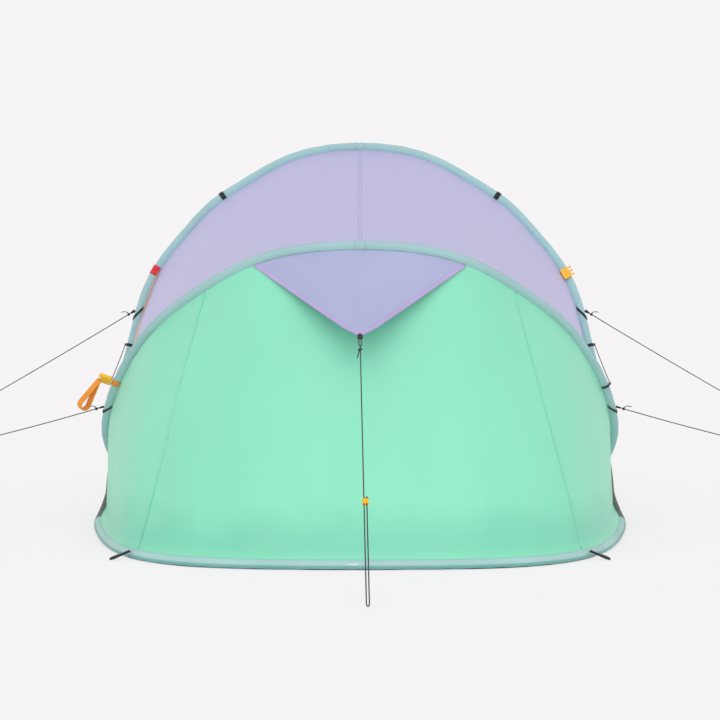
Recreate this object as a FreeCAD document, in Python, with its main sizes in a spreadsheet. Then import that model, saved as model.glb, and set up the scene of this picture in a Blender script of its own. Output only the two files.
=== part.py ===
import FreeCAD, Part
import math
import os
import Sketcher
from FreeCAD import Matrix, Placement, Rotation, Vector

# Pop up tent for two people: two sprung fibreglass hoops in tape sleeves carry a double skin.
# Frame: +X to the right seen from the low end, +Y towards the door, +Z up, millimetres.
# The origin is on the ground, midway between the sides, on the line where the hoops leave the floor.

doc = FreeCAD.newDocument("pop_up_tent")

# ---------------------------------------------------------------- driving dimensions
SIZES = {
    "half_width": 744.5,            # rod centre to centre line, at the widest place
    "low_end_length": 1062.0,       # origin to the rod along the low end of the floor
    "door_end_length": 1245.0,      # origin to the rod along the door end of the floor
    "tall_arch_height": 1076.0,
    "tall_arch_reach": 284.0,       # how far the tall arch leans towards the door
    "low_arch_height": 784.0,
    "low_arch_reach": 765.0,        # how far the low arch leans back
    "rod_diameter": 6.0,
    "rod_bore_clearance": 0.3,
    "ferrule_wall": 0.7,
    "ferrule_length": 60.0,
    "ferrule_clearance": 0.3,
    "tape_width": 24.0,
    "tape_wall": 1.2,
    "tape_ground_gap": 2.0,
    "seat_gap": 0.3,
    "fabric_thickness": 1.6,
    "groundsheet_thickness": 3.0,
    "inner_gap": 45.0,              # space between the outer skin and the inner tent
    "inner_foot_inset": 30.0,
    "inner_door_top_half_width": 210.0,
    "inner_door_foot_half_width": 320.0,
    "inner_door_top_height": 690.0,
    "inner_door_foot_height": 100.0,
    "seam_gap": 0.3,
    "door_gap": 1.2,
    "door_top_gap": 3.0,            # room for the door's upper corner as it swings
    "door_top_half_width": 270.0,
    "door_foot_half_width": 400.0,
    "door_top_height": 800.0,
    "door_foot_height": 60.0,
    "low_seam_top_half": 400.0,
    "low_seam_foot_half": 557.0,
    "vent_half_width": 150.0,
    "vent_drop": 90.0,
    "ribbon_thickness": 4.0,
    "ribbon_fall": 0.085,
    "awning_half_width": 275.0,
    "awning_reach": 1000.0,
    "awning_tip_height": 567.0,
    "guy_diameter": 2.6,
    "rear_guy_diameter": 3.0,
    "rear_guy_foot": 1690.0,
    "webbing_width": 14.0,
    "webbing_thickness": 1.8,
    "webbing_clearance": 0.3,
    "buckle_width": 30.0,
    "buckle_band_width": 24.0,
    "buckle_length": 36.0,
    "buckle_thickness": 9.0,
    "buckle_wall": 2.0,
    "buckle_corner": 3.0,
    "prong_width": 5.0,
    "prong_length": 13.0,
    "prong_thickness": 4.0,
    "handle_length": 88.0,
    "handle_radius": 13.0,
    "handle_strap": 8.0,
    "handle_depth": 8.0,
    "tensioner_length": 15.0,
    "tensioner_width": 14.0,
    "tensioner_thickness": 8.0,
    "tensioner_corner": 1.5,
    "guy_loop_radius": 8.0,
    "guy_tab_length": 10.0,
    "strand_spacing": 6.4,
    "peg_loop_length": 60.0,
    "peg_loop_radius": 9.0,
    "peg_loop_cord": 3.0,
    "peg_loop_strap": 5.0,
    "side_wall_inset": 70.0,
    "side_wall_height": 140.0,
    "side_wall_length": 350.0,
    "zip_tape_width": 16.0,
    "zip_coil_diameter": 3.0,
    "slider_length": 14.0,
    "slider_width": 9.0,
    "slider_height": 5.0,
}

sheet = doc.addObject("Spreadsheet::Sheet", "sizes")
for row, (alias, value) in enumerate(SIZES.items(), start=1):
    cell = "A%d" % row
    sheet.set(cell, str(value))
    sheet.setAlias(cell, alias)
doc.recompute()


def size(alias):
    return float(getattr(sheet, alias))


parts = []


def keep(obj, label):
    obj.Label = label
    parts.append(obj)
    return obj


def feature(label, shape, placement=None):
    """A piece whose form only the shape functions can make."""
    obj = doc.addObject("Part::Feature", label)
    obj.Shape = shape
    if placement is not None:
        obj.Placement = placement
    return keep(obj, label)


# ---------------------------------------------------------------- hoops
# Each hoop lies on the ground round one end of the floor, rises at both sides and arches over.
# Rows are shares of the driving dimensions, for the right half, from the floor's middle to the top.
LOW_END_FLOOR = [(0.0, 1.0), (0.27, 0.992), (0.52, 0.951), (0.66, 0.888), (0.786, 0.765),
                 (0.871, 0.593), (0.945, 0.325), (0.980, 0.150)]
TALL_ARCH = [(0.993, -0.200, 0.013), (0.997, 0.0, 0.016), (0.990, 0.140, 0.030), (0.980, 0.230, 0.052),
             (0.970, 0.335, 0.116), (0.953, 0.400, 0.195), (0.925, 0.510, 0.360),
             (0.886, 0.600, 0.480), (0.832, 0.690, 0.615), (0.751, 0.780, 0.711),
             (0.676, 0.830, 0.773), (0.588, 0.875, 0.838), (0.454, 0.930, 0.902),
             (0.281, 0.975, 0.967), (0.0, 1.0, 1.0)]
DOOR_END_FLOOR = [(0.0, 1.0), (0.27, 0.990), (0.52, 0.950), (0.68, 0.880), (0.80, 0.770),
                  (0.885, 0.610), (0.945, 0.430)]
LOW_ARCH = [(0.962, 0.590, 0.0165), (0.972, 0.450, 0.0235), (0.962, 0.333, 0.046),
            (0.943, 0.222, 0.096), (0.930, 0.122, 0.159), (0.942, 0.020, 0.235),
            (0.956, -0.055, 0.292), (0.936, -0.232, 0.425), (0.852, -0.449, 0.587),
            (0.717, -0.657, 0.743), (0.537, -0.822, 0.866), (0.338, -0.946, 0.959), (0.0, -1.0, 1.0)]
CROSSING_ROW_TALL = 4
CROSSING_ROW_LOW = 4


class Hoop:
    """A closed sprung hoop: its centre line and the direction of the tape that covers it."""

    def __init__(self, floor, arch, crossing, floor_length, floor_side, reach, height):
        half = size("half_width")
        rod_height = size("tape_ground_gap") + size("tape_width") / 2
        self.height = height
        self.rod_height = rod_height
        right = [Vector(half * x, floor_side * floor_length * y, rod_height) for x, y in floor]
        right += [Vector(half * x, reach * y, max(rod_height, height * z)) for x, y, z in arch]
        left = [Vector(-p.x, p.y, p.z) for p in reversed(right[1:-1])]
        points = right + left
        self.curve = Part.BSplineCurve()
        self.curve.interpolate(Points=points, PeriodicFlag=True)
        self.end = self.curve.LastParameter
        self.top = self.curve.parameter(right[-1])
        self.crossing = self.curve.parameter(right[len(floor) + crossing])

    def arch(self, u):
        """Parameter along the arch, 0 at the right crossing and 1 at the left one."""
        return self.crossing + u * (self.end - 2 * self.crossing)

    def base(self, u):
        """Parameter along the floor, 0 at the right crossing and 1 at the left one."""
        return (self.crossing * (1 - 2 * u)) % self.end

    def frame(self, t):
        """Point, tangent, the way out to the tape's edge, and the way across the tape."""
        point = self.curve.value(t)
        along = Vector(*self.curve.tangent(t)[0])
        rise = min(max((point.z - self.rod_height) / (0.09 * self.height), 0.0), 1.0)
        rise = rise * rise * (3 - 2 * rise)
        radial = Vector(point.x, 0, point.z - 0.3 * self.height)
        radial = (radial - along * radial.dot(along)).normalize()
        out = radial * rise + Vector(0, 0, -1) * (1 - rise)
        out = (out - along * out.dot(along)).normalize()
        return point, along, out, along.cross(out).normalize()

    def edge(self, t, inward, across=0.0):
        """A point beside the hoop, off the tape's sewn edge; across is towards the door."""
        point, _, out, side = self.frame(t)
        return point - out * (size("tape_width") / 2 + inward) + side * across


tall = Hoop(LOW_END_FLOOR, TALL_ARCH, CROSSING_ROW_TALL, size("low_end_length"), -1,
            size("tall_arch_reach"), size("tall_arch_height"))
low = Hoop(DOOR_END_FLOOR, LOW_ARCH, CROSSING_ROW_LOW, size("door_end_length"), 1,
           size("low_arch_reach"), size("low_arch_height"))


def spread(first, last, count):
    return [first + (last - first) * k / (count - 1) for k in range(count)]


def corner_points(frame, corners):
    """The corners of a section set across a hoop; each is an (out, across) pair."""
    point, _, out, side = frame
    return [point + out * a + side * b for a, b in corners]


def circle_section(radius, count):
    turn = 2 * math.pi / count
    return [(radius * math.cos(turn * k), radius * math.sin(turn * k)) for k in range(count)]


def checked_solid(faces):
    shell = Part.makeShell(faces)
    shell.sewShape()
    solid = Part.makeSolid(shell)
    if solid.Volume < 0:
        solid.reverse()
    return solid


def untwisted(frames):
    """The same places along a hoop with frames that don't turn about it, for round sections."""
    steady = []
    out = frames[0][2]
    for point, along, _, _ in frames:
        out = (out - along * out.dot(along)).normalize()
        steady.append((point, along, out, along.cross(out)))
    return steady


def round_walls(frames, radius):
    """The round wall that a circle sweeps along a hoop, and its two end circles."""
    section = circle_section(radius, 12)
    grid = [corner_points(frame, section + section[:1]) for frame in untwisted(frames)]
    wall = Part.BSplineSurface()
    wall.interpolate(grid)
    first, last, _, _ = wall.bounds()
    ends = [Part.Wire([wall.uIso(u).toShape()]) for u in (first, last)]
    return [wall.toShape()], ends


def tape_walls(frames, outline):
    """The faces that a flat section sweeps along a hoop, and its two end outlines."""
    loops = [corner_points(frame, outline) for frame in frames]
    wires = [Part.makePolygon(loop + loop[:1]) for loop in loops]
    return Part.makeLoft(wires, False, False).Faces, [wires[0], wires[-1]]


def rod_section(radius, sides=12):
    """A many-sided section of the same area as a circle."""
    reach = radius * math.sqrt(2 * math.pi / (sides * math.sin(2 * math.pi / sides)))
    return circle_section(reach, sides)


def capped(walls, ends):
    return checked_solid(walls + [Part.Face(end) for end in ends])


def hollow(walls, ends, bore_walls, bore_ends):
    rims = [Part.makeFace(list(pair), "Part::FaceMakerBullseye") for pair in zip(ends, bore_ends)]
    return checked_solid(walls + bore_walls + rims)


def frames_along(hoop, first, last, count):
    return [hoop.frame(t % hoop.end) for t in spread(first, last, count)]


rod_radius = size("rod_diameter") / 2
rod_end_gap = 1.0
rod_stations = 65
ferrule_bore = rod_radius + size("ferrule_clearance")
ferrule_radius = ferrule_bore + size("ferrule_wall")
sleeve_bore = ferrule_radius + size("rod_bore_clearance")
sleeve_half = sleeve_bore + size("tape_wall")
tape_half = size("tape_width") / 2
TAPE_OUTLINE = [(tape_half, 0), (0.45 * tape_half, sleeve_half), (-0.45 * tape_half, sleeve_half),
                (-tape_half, 0), (-0.45 * tape_half, -sleeve_half), (0.45 * tape_half, -sleeve_half)]

for hoop, name in ((tall, "tall_hoop"), (low, "low_hoop")):
    lengths = []
    ferrules = []
    half = size("ferrule_length") / 2
    for first, last in ((0.0, hoop.top), (hoop.top, hoop.end)):
        run = frames_along(hoop, first + rod_end_gap, last - rod_end_gap, rod_stations)
        lengths.append(capped(*tape_walls(untwisted(run), rod_section(rod_radius))))
        run = frames_along(hoop, first - half, first + half, 7)
        ferrules.append(hollow(*round_walls(run, ferrule_radius), *round_walls(run, ferrule_bore)))
    feature(name + "_rod", Part.makeCompound(lengths))
    feature(name + "_ferrules", Part.makeCompound(ferrules))

# Shares along the arch and along the floor where one stretch of sleeve ends and the next begins.
sleeve_break = 0.003
TALL_BREAKS = {"arch": 0.050, "base": 0.055}
LOW_BREAKS = {"arch": 0.030, "base": 0.125}


def sleeve(label, hoop, first, last, count):
    run = frames_along(hoop, first, last, count)
    return feature(label, hollow(*tape_walls(run, TAPE_OUTLINE), *round_walls(run, sleeve_bore)))


for hoop, breaks, arch_name, side_name, floor_name in (
        (tall, TALL_BREAKS, "tall_arch_sleeve", "tall_side_sleeve", "low_end_floor_sleeve"),
        (low, LOW_BREAKS, "low_arch_sleeve", "low_side_sleeve", "door_end_floor_sleeve")):
    arch_break = breaks["arch"]
    base_break = breaks["base"]
    sleeve(arch_name, hoop, hoop.arch(arch_break + sleeve_break),
           hoop.arch(1 - arch_break - sleeve_break), 61)
    sleeve(side_name + "_right", hoop, hoop.base(base_break), hoop.arch(arch_break), 25)
    sleeve(side_name + "_left", hoop, hoop.arch(1 - arch_break), hoop.base(1 - base_break), 25)
    floor_first = hoop.base(1 - base_break - sleeve_break) - hoop.end
    sleeve(floor_name, hoop, floor_first, hoop.base(base_break + sleeve_break), 49)

# ---------------------------------------------------------------- skins
fabric = size("fabric_thickness")
seat = size("seat_gap")


def skin(edge_a, edge_b, first, last, columns, rows, bulge=0.0, lift=0.0, thickness=fabric):
    """A cloth panel between two curved edges, swollen by bulge and moved out by lift."""
    grid = []
    for u in spread(first, last, columns):
        a, b = edge_a(u), edge_b(u)
        grid.append([a + (b - a) * v for v in spread(0.0, 1.0, rows)])
    normals = []
    for i in range(columns):
        line = []
        for j in range(rows):
            du = grid[min(i + 1, columns - 1)][j] - grid[max(i - 1, 0)][j]
            dv = grid[i][min(j + 1, rows - 1)] - grid[i][max(j - 1, 0)]
            line.append(du.cross(dv).normalize())
        normals.append(line)
    middle = normals[columns // 2][rows // 2]
    outward = 1 if middle.dot(grid[columns // 2][rows // 2] - Vector(0, 0, 300)) > 0 else -1

    def surface(height):
        points = []
        for i in range(columns):
            swell = [bulge * 4 * v * (1 - v) for v in spread(0.0, 1.0, rows)]
            points.append([grid[i][j] + normals[i][j] * outward * (height + lift + swell[j])
                           for j in range(rows)])
        made = Part.BSplineSurface()
        made.interpolate(points)
        return made

    outer, inner = surface(thickness / 2), surface(-thickness / 2)
    u0, u1, v0, v1 = outer.bounds()
    faces = [outer.toShape(), inner.toShape()]
    for cut in (lambda s: s.uIso(u0), lambda s: s.uIso(u1), lambda s: s.vIso(v0), lambda s: s.vIso(v1)):
        faces.append(Part.makeRuledSurface(cut(outer).toShape(), cut(inner).toShape()))
    return checked_solid(faces)


seam_lift = fabric / 2 + seat


def tall_arch_edge(across, inward=2 * seat):
    return lambda u: tall.edge(tall.arch(u), inward, across)


def low_arch_edge(across, inward=2 * seat):
    return lambda u: low.edge(low.arch(u), inward, across)


def tall_floor_edge(inward=2 * seat):
    return lambda u: tall.edge(tall.base(u), inward)


def low_floor_edge(inward=2 * seat):
    return lambda u: low.edge(low.base(u), inward)


skin_start = 0.04
inner_start = 0.06
far = 2500.0


def prism(half_widths, heights, y_side):
    """A wedge across the tent whose sides lean; half widths are given at two heights."""
    (low_half, high_half), (low_z, high_z) = half_widths, heights
    corners = [Vector(-low_half, 0, low_z), Vector(low_half, 0, low_z),
               Vector(high_half, 0, high_z), Vector(-high_half, 0, high_z)]
    outline = Part.Face(Part.makePolygon(corners + corners[:1]))
    return outline.extrude(Vector(0, y_side * far, 0))


def side_box(side, gap=0.0):
    """Everything on one side of the middle plane, held off it by gap."""
    box = Part.makeBox(far, 2 * far, far)
    start = gap if side > 0 else -far - gap
    box.translate(Vector(start, -far, -100))
    return box


def leaning_half(foot_half, top_half, foot_z, top_z, z):
    return foot_half + (top_half - foot_half) * (z - foot_z) / (top_z - foot_z)


seam_half = size("seam_gap") / 2
skin_columns = 41
roof_swell = -8.0
roof = skin(tall_arch_edge(-seam_lift), low_arch_edge(seam_lift), skin_start, 1 - skin_start,
            skin_columns, 5, roof_swell)
low_end = skin(low_arch_edge(-seam_lift), tall_floor_edge(), skin_start, 1 - skin_start,
               skin_columns, 5, 6.0)
door_end = skin(tall_arch_edge(seam_lift), low_floor_edge(), skin_start, 1 - skin_start,
                skin_columns, 5)

for side, name in ((1, "right"), (-1, "left")):
    feature("roof_panel_" + name, roof.common(side_box(side, seam_half)))

# The low end has a middle panel between two slanting seams, and a mesh vent under its arch.
below, above = -50.0, 1200.0


def low_seam_half(z):
    return leaning_half(size("low_seam_foot_half"), size("low_seam_top_half"), 20.0, 670.0, z)


def low_seam_prism(grow):
    return prism((low_seam_half(below) + grow, low_seam_half(above) + grow), (below, above), -1)


vent_top = size("low_arch_height")
vent_foot = vent_top - tape_half - size("vent_drop")


def vent_prism(grow):
    half = size("vent_half_width") + grow
    return prism((half, half), (vent_foot - grow, above), -1)


feature("low_end_panel", low_end.common(low_seam_prism(-seam_half)).cut(vent_prism(seam_half)))
feature("vent_mesh", low_end.common(vent_prism(-seam_half)))
low_gussets = low_end.cut(low_seam_prism(seam_half))
for side, name in ((1, "right"), (-1, "left")):
    feature("low_end_gusset_" + name, low_gussets.common(side_box(side)))

# The door end has a panel each side of the door, joined above and below it at the middle.
door_gap = size("door_gap")


def door_prism(grow, top_drop=0.0):
    foot, top = size("door_foot_height") - grow, size("door_top_height") + grow
    foot_half, top_half = size("door_foot_half_width") + grow, size("door_top_half_width") + grow
    dropped = top - top_drop
    return prism((foot_half, leaning_half(foot_half, top_half, foot, top, dropped)), (foot, dropped), 1)


def inner_door_prism(grow):
    foot, top = size("inner_door_foot_height"), size("inner_door_top_height")
    return prism((size("inner_door_foot_half_width") + grow, size("inner_door_top_half_width") + grow),
                 (foot - grow, top + grow), 1)


door_top_drop = size("door_top_gap") - door_gap
feature("outer_door", door_end.common(door_prism(-door_gap / 2, door_top_drop)))
door_surround = door_end.cut(door_prism(door_gap / 2))
for side, name in ((1, "right"), (-1, "left")):
    feature("door_end_panel_" + name, door_surround.common(side_box(side, seam_half)))

# ---------------------------------------------------------------- inner tent and groundsheet
sheet_top = size("groundsheet_thickness")
inner_inward = seat + size("inner_gap")


def floor_foot(hoop, inside):
    """The line on the groundsheet where the inner tent is sewn down, beside a hoop's floor run."""
    def at(u):
        point, _, _, side = hoop.frame(hoop.base(u))
        across = Vector(side.x, side.y, 0).normalize() * inside
        foot = point + across * size("inner_foot_inset")
        return Vector(foot.x, foot.y, sheet_top + seat + fabric / 2)
    return at


inner_seam_lift = fabric / 2
inner_columns = 31
inner_roof = skin(tall_arch_edge(-inner_seam_lift, inner_inward),
                  low_arch_edge(inner_seam_lift, inner_inward),
                  inner_start, 1 - inner_start, inner_columns, 5)
inner_low_wall = skin(low_arch_edge(-inner_seam_lift, inner_inward), floor_foot(tall, 1),
                      inner_start, 1 - inner_start, inner_columns, 5)
inner_door_wall = skin(tall_arch_edge(inner_seam_lift, inner_inward), floor_foot(low, -1),
                       inner_start, 1 - inner_start, inner_columns, 5)
feature("inner_roof", inner_roof)
feature("inner_low_end_wall", inner_low_wall)
feature("inner_door_end_wall", inner_door_wall.cut(inner_door_prism(door_gap / 2)))
feature("inner_door", inner_door_wall.common(inner_door_prism(-door_gap / 2)))

sheet_gap = 1.9
outline = []
for hoop, inside in ((tall, 1), (low, -1)):
    last = 0.10 if hoop is tall else 0.14
    for u in spread(last, 1 - last, 33):
        point, _, _, side = hoop.frame(hoop.base(u))
        across = Vector(side.x, side.y, 0).normalize() * inside
        edge = point + across * sheet_gap
        outline.append(Vector(edge.x, edge.y, 0))
    if hoop is tall:
        outline.reverse()
sheet_curve = Part.BSplineCurve()
order = sorted(outline, key=lambda p: math.atan2(p.y, p.x))
sheet_curve.interpolate(Points=order, PeriodicFlag=True)
feature("groundsheet", Part.Face(Part.Wire([sheet_curve.toShape()])).extrude(Vector(0, 0, sheet_top)))


# ---------------------------------------------------------------- helpers for the small hardware
def make_body(label):
    return doc.addObject("PartDesign::Body", label)


def origin_plane(body, role):
    return next(item for item in body.Origin.OriginFeatures if item.Role == role)


def sketch_on(body, name, role="XY_Plane"):
    sketch = body.newObject("Sketcher::SketchObject", name)
    sketch.AttachmentSupport = (origin_plane(body, role), [""])
    sketch.MapMode = "FlatFace"
    return sketch


def add_outline(sketch, points):
    """A closed outline of straight lines, each corner joined to the next."""
    first = sketch.GeometryCount
    for a, b in zip(points, points[1:] + points[:1]):
        sketch.addGeometry(Part.LineSegment(Vector(*a, 0), Vector(*b, 0)))
    count = len(points)
    for k in range(count):
        sketch.addConstraint(Sketcher.Constraint("Coincident", first + k, 2, first + (k + 1) % count, 1))
    return first


def add_rectangle(sketch, width, depth, centre=(0, 0)):
    """A rectangle about a centre whose sides follow two expressions of the sheet."""
    first = add_outline(sketch, [(-1, -1), (1, -1), (1, 1), (-1, 1)])
    for k, kind in enumerate(("Horizontal", "Vertical", "Horizontal", "Vertical")):
        sketch.addConstraint(Sketcher.Constraint(kind, first + k))
    index = sketch.addConstraint(Sketcher.Constraint("DistanceX", first, 1, first, 2, 2.0))
    sketch.setExpression("Constraints[%d]" % index, width)
    index = sketch.addConstraint(Sketcher.Constraint("DistanceY", first + 1, 1, first + 1, 2, 2.0))
    sketch.setExpression("Constraints[%d]" % index, depth)
    if centre == (0, 0):
        sketch.addConstraint(Sketcher.Constraint("Symmetric", first, 1, first + 1, 2, -1, 1))
    else:
        index = sketch.addConstraint(Sketcher.Constraint("DistanceX", -1, 1, first, 1, 1.0))
        sketch.setExpression("Constraints[%d]" % index, centre[0])
        index = sketch.addConstraint(Sketcher.Constraint("DistanceY", -1, 1, first, 1, 1.0))
        sketch.setExpression("Constraints[%d]" % index, centre[1])
    return first


def add_circle(sketch, radius, centre_x="0", centre_y="0"):
    index = sketch.addGeometry(Part.Circle(Vector(1, 1, 0), Vector(0, 0, 1), 1.0))
    at = sketch.addConstraint(Sketcher.Constraint("Radius", index, 1.0))
    sketch.setExpression("Constraints[%d]" % at, radius)
    for kind, value in (("DistanceX", centre_x), ("DistanceY", centre_y)):
        at = sketch.addConstraint(Sketcher.Constraint(kind, -1, 1, index, 3, 1.0))
        sketch.setExpression("Constraints[%d]" % at, value)


def pad(body, sketch, length, name, midplane=True):
    made = body.newObject("PartDesign::Pad", name)
    made.Profile = sketch
    made.setExpression("Length", length)
    made.Midplane = midplane
    sketch.Visibility = False
    return made


def pocket_through(body, sketch, name):
    made = body.newObject("PartDesign::Pocket", name)
    made.Profile = sketch
    made.Type = "ThroughAll"
    made.Midplane = True
    return made


def fillet_along(body, base, direction, radius, name):
    """Rounds every edge of the solid so far that runs along a direction."""
    doc.recompute()
    names = []
    for k, edge in enumerate(base.Shape.Edges, start=1):
        if edge.Curve.TypeId == "Part::GeomLine" and abs(edge.Curve.Direction.dot(direction)) > 0.999:
            names.append("Edge%d" % k)
    made = body.newObject("PartDesign::Fillet", name)
    made.Base = (base, names)
    made.setExpression("Radius", radius)
    return made


def axes_placement(origin, x_axis, z_axis):
    """A placement whose X and Z axes point the ways given."""
    z_axis = Vector(z_axis).normalize()
    x_axis = Vector(x_axis)
    x_axis = (x_axis - z_axis * x_axis.dot(z_axis)).normalize()
    y_axis = z_axis.cross(x_axis)
    return Placement(Matrix(x_axis.x, y_axis.x, z_axis.x, origin.x, x_axis.y, y_axis.y, z_axis.y, origin.y,
                            x_axis.z, y_axis.z, z_axis.z, origin.z, 0, 0, 0, 1))


# ---------------------------------------------------------------- side walls below the crossings
for side, name in ((1, "right"), (-1, "left")):
    wall = make_body("side_wall_" + name)
    sketch = sketch_on(wall, "side_wall_outline_" + name, "YZ_Plane")
    add_outline(sketch, [(-1, 0), (1, 0), (0.2, 1), (-0.2, 1)])
    for line in (0, 2):
        sketch.addConstraint(Sketcher.Constraint("Horizontal", line))
    limits = [("DistanceX", 0, 1, 0, 2, "<<sizes>>.side_wall_length"),
              ("DistanceX", 2, 2, 2, 1, "<<sizes>>.side_wall_length * 0.12"),
              ("DistanceY", 0, 1, 2, 1, "<<sizes>>.side_wall_height"),
              ("DistanceX", -1, 1, 2, 2,
               "<<sizes>>.tall_arch_reach * 0.335 - <<sizes>>.side_wall_length * 0.06"),
              ("DistanceX", 0, 1, -1, 1,
               "<<sizes>>.side_wall_length * 0.5 - <<sizes>>.tall_arch_reach * 0.43"),
              ("DistanceY", -1, 1, 0, 1, "<<sizes>>.groundsheet_thickness + <<sizes>>.seat_gap")]
    for kind, g1, p1, g2, p2, rule in limits:
        index = sketch.addConstraint(Sketcher.Constraint(kind, g1, p1, g2, p2, 1.0))
        sketch.setExpression("Constraints[%d]" % index, rule)
    pad(wall, sketch, "<<sizes>>.fabric_thickness", "side_wall_cloth_" + name)
    wall_x = side * (size("half_width") - size("side_wall_inset"))
    wall.Placement = Placement(Vector(wall_x, 0, 0), Rotation())
    keep(wall, "side_wall_" + name)


# ---------------------------------------------------------------- bands round the tape
def arch_at_height(hoop, height, side):
    """Parameter on one side of an arch where the rod is at a height."""
    low_t, high_t = hoop.crossing, hoop.top
    for _ in range(40):
        middle = (low_t + high_t) / 2
        if hoop.curve.value(middle).z < height:
            low_t = middle
        else:
            high_t = middle
    return low_t if side > 0 else hoop.end - low_t


webbing = size("webbing_thickness")
wrap_gap = size("webbing_clearance")
shoulder = 0.45 * tape_half
wrap_stop = 0.90 * tape_half


def wrap_outline():
    """A strip folded over the tape's free edge, open towards the seam."""
    inner, outer = sleeve_half + wrap_gap, sleeve_half + wrap_gap + webbing
    slope = sleeve_half * (1 - (wrap_stop - shoulder) / (tape_half - shoulder))
    tip_in, tip_out = tape_half + 3 * wrap_gap, tape_half + 3 * wrap_gap + webbing
    upper = [(-wrap_stop, slope + 2 * wrap_gap), (-shoulder, inner), (shoulder, inner), (tip_in, 0)]
    lower = [(a, -b) for a, b in reversed(upper[:-1])]
    back = [(-wrap_stop, -slope - 2 * wrap_gap - webbing), (-shoulder, -outer), (shoulder, -outer),
            (tip_out, -webbing)]
    front = [(a, -b) for a, b in reversed(back)]
    return upper + lower + back + front


def wrap(hoop, t, length):
    run = frames_along(hoop, t - length / 2, t + length / 2, 3)
    return capped(*tape_walls(run, wrap_outline()))


def cord_tube(points, diameter):
    """A cord of straight runs joined by tangent arcs, each as large as its two runs allow."""
    edges = []
    start = points[0]
    for before, corner, after in zip(points, points[1:], points[2:]):
        into, away = (corner - before), (after - corner)
        shorter = min(into.Length, away.Length)
        into.normalize()
        away.normalize()
        reach = 0.45 * shorter
        first, last = corner - into * reach, corner + away * reach
        bisector = (away - into).normalize()
        half_turn = into.getAngle(away) / 2
        radius = reach / math.tan(half_turn)
        middle = corner + bisector * (radius / math.cos(half_turn) - radius)
        print("cord bend radius %.1f diameters" % (radius / diameter))
        edges.append(Part.LineSegment(start, first).toShape())
        edges.append(Part.Arc(first, middle, last).toShape())
        start = last
    edges.append(Part.LineSegment(start, points[-1]).toShape())
    path = Part.Wire(edges)
    direction = points[1] - points[0]
    profile = Part.Wire([Part.makeCircle(diameter / 2, points[0], direction)])
    tube = path.makePipeShell([profile], True, False)
    expected = math.pi * diameter ** 2 / 4 * path.Length
    print("cord length %.0f mm, volume ratio %.4f" % (path.Length, tube.Volume / expected))
    return tube


# Four guy lines run from the arches down to pegs well outside the tent.
guy = size("guy_diameter")
tag_length = size("webbing_width")
GUY_ENDS = {"tall": (591.0, (1080.0, 254.0, 348.0)), "low": (336.0, (1014.0, -206.0, 258.0))}
end_loops = []
tabs = []
for hoop_name, hoop in (("tall", tall), ("low", low)):
    height, (end_x, end_y, end_z) = GUY_ENDS[hoop_name]
    for side, name in ((1, "right"), (-1, "left")):
        t = arch_at_height(hoop, height, side)
        point, along, out, across = hoop.frame(t)
        tabs.append(wrap(hoop, t, tag_length))
        root = point + out * (tape_half + 3 * wrap_gap + 1.5 * webbing)
        end = Vector(side * end_x, end_y, end_z)
        direction = (end - root).normalize()
        flat = (across - direction * across.dot(direction)).normalize()
        tab = Part.makeBox(size("guy_tab_length"), tag_length * 0.6, webbing)
        tab.translate(Vector(0, -tag_length * 0.3, -webbing / 2))
        tab.Placement = axes_placement(root, direction, flat).multiply(tab.Placement)
        tabs.append(tab)
        start = root + direction * (size("guy_tab_length") + seat)
        feature("guy_line_%s_%s" % (hoop_name, name), cord_tube([start, end], guy))
        loop = doc.addObject("Part::Torus", "guy_loop_%s_%s" % (hoop_name, name))
        loop.setExpression("Radius1", "<<sizes>>.guy_loop_radius")
        loop.setExpression("Radius2", "<<sizes>>.guy_diameter / 2")
        centre = end + direction * (size("guy_loop_radius") + guy / 2 + seat)
        loop.Placement = axes_placement(centre, direction, flat)
        end_loops.append(loop)
feature("guy_tabs", Part.makeCompound(tabs))
loops = doc.addObject("Part::Compound", "guy_line_end_loops")
loops.Links = end_loops
keep(loops, "guy_line_end_loops")

# A short cord each side keeps the two arches from spreading.
BRACE_HEIGHTS = (496.0, 402.0)
braces = []
for side, name in ((1, "right"), (-1, "left")):
    ends = []
    for hoop, height in ((tall, BRACE_HEIGHTS[0]), (low, BRACE_HEIGHTS[1])):
        t = arch_at_height(hoop, height, side)
        point, _, out, _ = hoop.frame(t)
        ends.append(point + out * (tape_half + 3 * wrap_gap + webbing + guy / 2 + seat))
        if hoop is tall or side > 0:
            braces.append(wrap(hoop, t, tag_length * 0.6))
    span = (ends[1] - ends[0]).normalize()
    feature("brace_cord_" + name, cord_tube([ends[0], ends[1] - span * guy], guy))
feature("brace_cord_tags", Part.makeCompound(braces))

# Two dark tags fold over the tall arch, and a red one marks the pull point.
DARK_TAG_HEIGHT = 930.0
RED_TAG_HEIGHT = 712.0
feature("dark_tape_tags", Part.makeCompound(
    [wrap(tall, arch_at_height(tall, DARK_TAG_HEIGHT, side), tag_length) for side in (1, -1)]))
red_t = arch_at_height(tall, RED_TAG_HEIGHT, -1)
feature("red_tape_tag", wrap(tall, red_t, 2 * tag_length))

# A pull ribbon is sewn to the red tag and lies loose on the roof cloth: (share down, share across).
RIBBON_ROUTE = [(0.15, 0.10), (0.36, 0.20), (0.56, 0.20), (0.78, 0.28), (1.0, 0.42)]
red_share = (red_t - tall.crossing) / (tall.end - 2 * tall.crossing)
ribbon_end_share = red_share + size("ribbon_fall")
ribbon_lift = fabric / 2 + size("ribbon_thickness") / 2 + 5.0


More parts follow.
